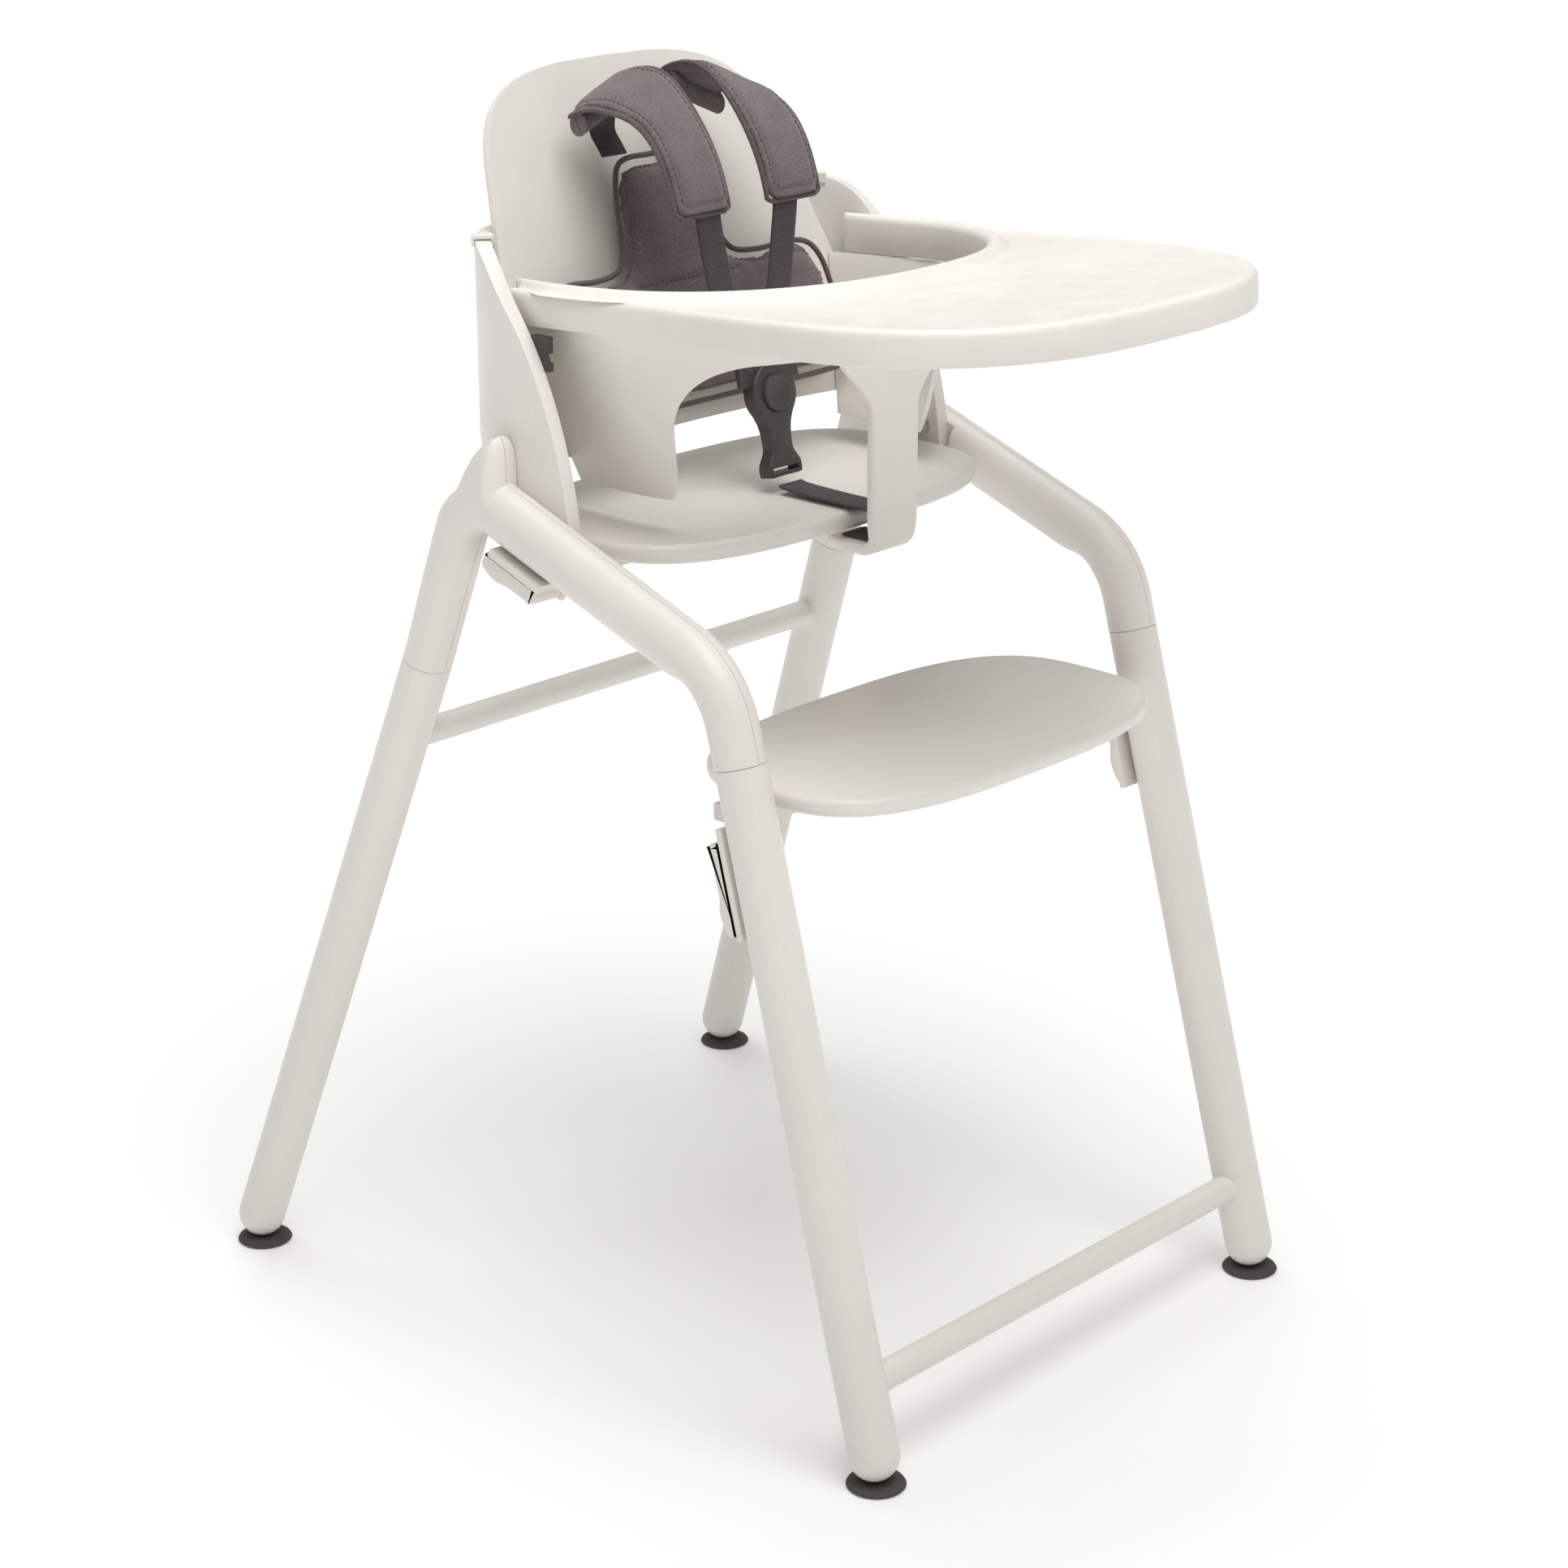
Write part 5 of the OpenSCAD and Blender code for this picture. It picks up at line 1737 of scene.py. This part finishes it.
    def edge_loop(self, line: Sequence[Vector]) -> list[Vector]:
        """Closed line round the rim of the pad."""
        w = Vector((self.half_w, 0, 0))
        there = [p + w for p in line[1:-1]]
        back = [p - w for p in reversed(line[1:-1])]
        corner = Vector((self.half_w * 0.8, 0, 0))
        loop = ([line[0] - corner, line[0] + corner] + there + [line[-1] + corner, line[-1] - corner] + back)
        return evenly(loop, 260, True)


@dataclass
class Harness:
    """Webbing, buckle, its tongues and its button."""

    finishes: Finishes
    width: float = 0.025
    thick: float = 0.002
    buckle: tuple[float, float, float] = (0.0, 0.017, 0.680)
    tilt: float = math.radians(79)

    def build(self) -> None:
        """Builds and dresses all of it."""
        self.straps()
        self.buckle_parts()

    def on_buckle(self) -> Matrix:
        """Buckle frame: +Z out of its face, +Y up along it."""
        return Matrix.Translation(self.buckle) @ Matrix.Rotation(self.tilt, 4, "X")

    def straps(self) -> None:
        """Upper and lower shoulder webbing of both sides, and the crotch strap."""
        across = Vector((1, 0, 0))
        for side in Side:
            upper = spline([(0.033, 0.1380, 0.841), (0.034, 0.1430, 0.849), (0.036, 0.1470, 0.858),
                            (0.038, 0.1440, 0.871)], 10)
            lower = spline([(0.040, 0.0390, 0.824), (0.0395, 0.0385, 0.806), (0.033, 0.0365, 0.770),
                            (0.026, 0.0335, 0.738), (0.0235, 0.0305, 0.716), (0.0230, 0.0283, 0.7075),
                            (0.0230, 0.0300, 0.7045), (0.0230, 0.0335, 0.7085), (0.0245, 0.0370, 0.724),
                            (0.0275, 0.0385, 0.738)], 8)
            for word, line in (("upper", upper), ("lower", lower)):
                name = f"shoulder_webbing_{word}_{side.word}"
                piece = on_side(strap(name, line, [across] * len(line), self.width, self.thick), side)
                self.finishes.dress(piece, "webbing", Body.BABY_SET, ["shoulder_webbing"])
        loop = -0.0963 + 0.006
        over = [(-0.0030, 0.6165), (-0.012, 0.6150), (-0.050, 0.6140)]
        under = [(0.006, 0.6138), (0.0015, 0.6120), (0, 0.607), (0, 0.5975), (0.002, 0.5935),
                 (0.007, 0.5924), (0.026, 0.5924)]
        line = spline([(0, y, z) for y, z in over] + [(0, loop + y, z) for y, z in under], 8)
        crotch = strap("crotch_strap_webbing", line, [across] * len(line), self.width, self.thick)
        self.finishes.dress(crotch, "webbing", Body.BABY_SET, ["crotch_strap"])

    def buckle_parts(self) -> None:
        """Buckle housing, its two tongues and the round button."""
        place = self.on_buckle()
        half = [(0.0, 0.022), (-0.0085, 0.0203), (-0.0156, 0.0156), (-0.0203, 0.0085), (-0.022, 0.0),
                (-0.0203, -0.0085), (-0.0150, -0.0170), (-0.0115, -0.0260), (-0.0105, -0.0400),
                (-0.0150, -0.0480), (-0.0170, -0.0520), (-0.0170, -0.0575), (-0.0150, -0.0600),
                (0.0, -0.0600)]
        loop = half + [(-x, y) for x, y in reversed(half[1:-1])]
        outline = evenly(spline([Vector((x, y, 0)) for x, y in loop], 8, True), 150, True)
        body = plate("buckle_housing", outline, -0.0060, 0.0060, 0.0016, place, 4)
        well = lathe("well", [(0.0139, -0.003), (0.0139, 0.02)], place)
        body = cut(body, well)
        slot = [place @ Vector((x, y, z)) for z in (-0.01, 0.01)
                for x, y in ((-0.0135, -0.0568), (0.0135, -0.0568), (0.0135, -0.0534), (-0.0135, -0.0534))]
        body = cut(body, loft("slot", [slot[:4], slot[4:]]))
        body.data.shade_smooth()
        body.data.set_sharp_from_angle(angle=math.radians(40))
        self.finishes.dress(body, "dark_plastic", Body.BABY_SET, ["buckle_body"])
        for side in Side:
            centre = Matrix.Translation((0.0229, 0.0224, 0))
            bar = [Vector((x, y, 0)) for x, y in rounded_box(0.0075, 0.016, 0.003)]
            tongue = plate(f"buckle_tongue_{side.word}", bar, -0.002, 0.002, 0.0006, place @ centre, 3)
            hole = [place @ centre @ Vector((x, y, z)) for z in (-0.01, 0.01)
                    for x, y in ((-0.005, 0.0076), (0.005, 0.0076), (0.005, 0.0116), (-0.005, 0.0116))]
            tongue = cut(tongue, loft("hole", [hole[:4], hole[4:]]))
            self.finishes.dress(on_side(tongue, side), "dark_plastic", Body.BABY_SET, ["buckle_tongues"])
        profile = [(0.0004, 0.0021), (0.0128, 0.0021), (0.0135, 0.0028), (0.0135, 0.0080), (0.0131, 0.0087),
                   (0.0122, 0.0090), (0.0112, 0.0087), (0.0100, 0.0082), (0.0050, 0.0077), (0.0004, 0.0076)]
        self.finishes.dress(lathe("buckle_button_turned", profile, place), "dark_plastic", Body.BUTTON,
                            ["buckle_button"])


# ---------------------------------------------------------------- studio


@dataclass
class Studio:
    """Pale floor, soft light and the camera."""

    finishes: Finishes
    camera_at: tuple[float, float, float] = (-1.8256, -1.6834, 1.2626)
    target: tuple[float, float, float] = (0.0, 0.004, 0.38475)
    roll: float = math.radians(-0.13)
    lens: float = 81.34
    floor_half: float = 30.0
    sky_light: float = 0.33
    sky_seen: float = 1.05

    def build(self) -> None:
        """Builds the floor, the lights and the camera."""
        h = self.floor_half
        floor = grid("studio_floor", [[Vector((-h, y, 0)), Vector((h, y, 0))] for y in (-h, h)])
        floor.data.materials.append(FloorPaint("studio_floor").build())
        self.light("key", (-0.5, -1.1, 3.5), 2.2, 72)
        self.light("top", (0.6, 1.2, 3.6), 2.6, 46)
        self.sky()
        self.camera()

    def light(self, name: str, at: tuple[float, float, float], size: float, power: float) -> None:
        """Square soft light aimed at the chair."""
        data = bpy.data.lights.new(name, "AREA")
        data.size, data.energy = size, power
        lamp = bpy.data.objects.new(name, data)
        lamp.location = at
        lamp.rotation_euler = (Vector((0, 0, 0.5)) - Vector(at)).to_track_quat("-Z", "Y").to_euler()
        bpy.context.scene.collection.objects.link(lamp)

    def sky(self) -> None:
        """Even surroundings, dimmer as a light than as the backdrop that the camera sees."""
        world = bpy.data.worlds.new("studio")
        world.use_nodes = True
        tree = world.node_tree
        back = tree.nodes["Background"]
        back.inputs["Color"].default_value = (1.0, 0.995, 0.985, 1.0)
        seen = tree.nodes.new("ShaderNodeLightPath")
        level = tree.nodes.new("ShaderNodeMapRange")
        level.inputs["To Min"].default_value = self.sky_light
        level.inputs["To Max"].default_value = self.sky_seen
        tree.links.new(seen.outputs["Is Camera Ray"], level.inputs["Value"])
        tree.links.new(level.outputs["Result"], back.inputs["Strength"])
        bpy.context.scene.world = world
        bpy.context.scene.view_settings.view_transform = "Standard"

    def camera(self) -> None:
        """Camera at the usual three-quarter view."""
        data = bpy.data.cameras.new("camera")
        data.lens, data.sensor_width = self.lens, 36.0
        data.clip_end = 200.0
        eye = bpy.data.objects.new("camera", data)
        turn = (Vector(self.target) - Vector(self.camera_at)).to_track_quat("-Z", "Y")
        eye.matrix_world = (Matrix.Translation(self.camera_at) @ turn.to_matrix().to_4x4()
                            @ Matrix.Rotation(self.roll, 4, "Z"))
        bpy.context.scene.collection.objects.link(eye)
        bpy.context.scene.camera = eye


def main() -> None:
    """Builds the chair round its frame."""
    logging.basicConfig(level=logging.INFO, format="%(message)s")
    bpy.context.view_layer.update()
    finishes = Finishes()
    Studio(finishes).build()
    finishes.dress_frame()
    for assembly in (Legs, SideCastings, BackPanel, Boards, BabySet, Tray, BackPad, ShoulderPads, Harness):
        assembly(finishes).build()
        log.info("%s done", assembly.__name__)


if __name__ == "__main__":
    main()
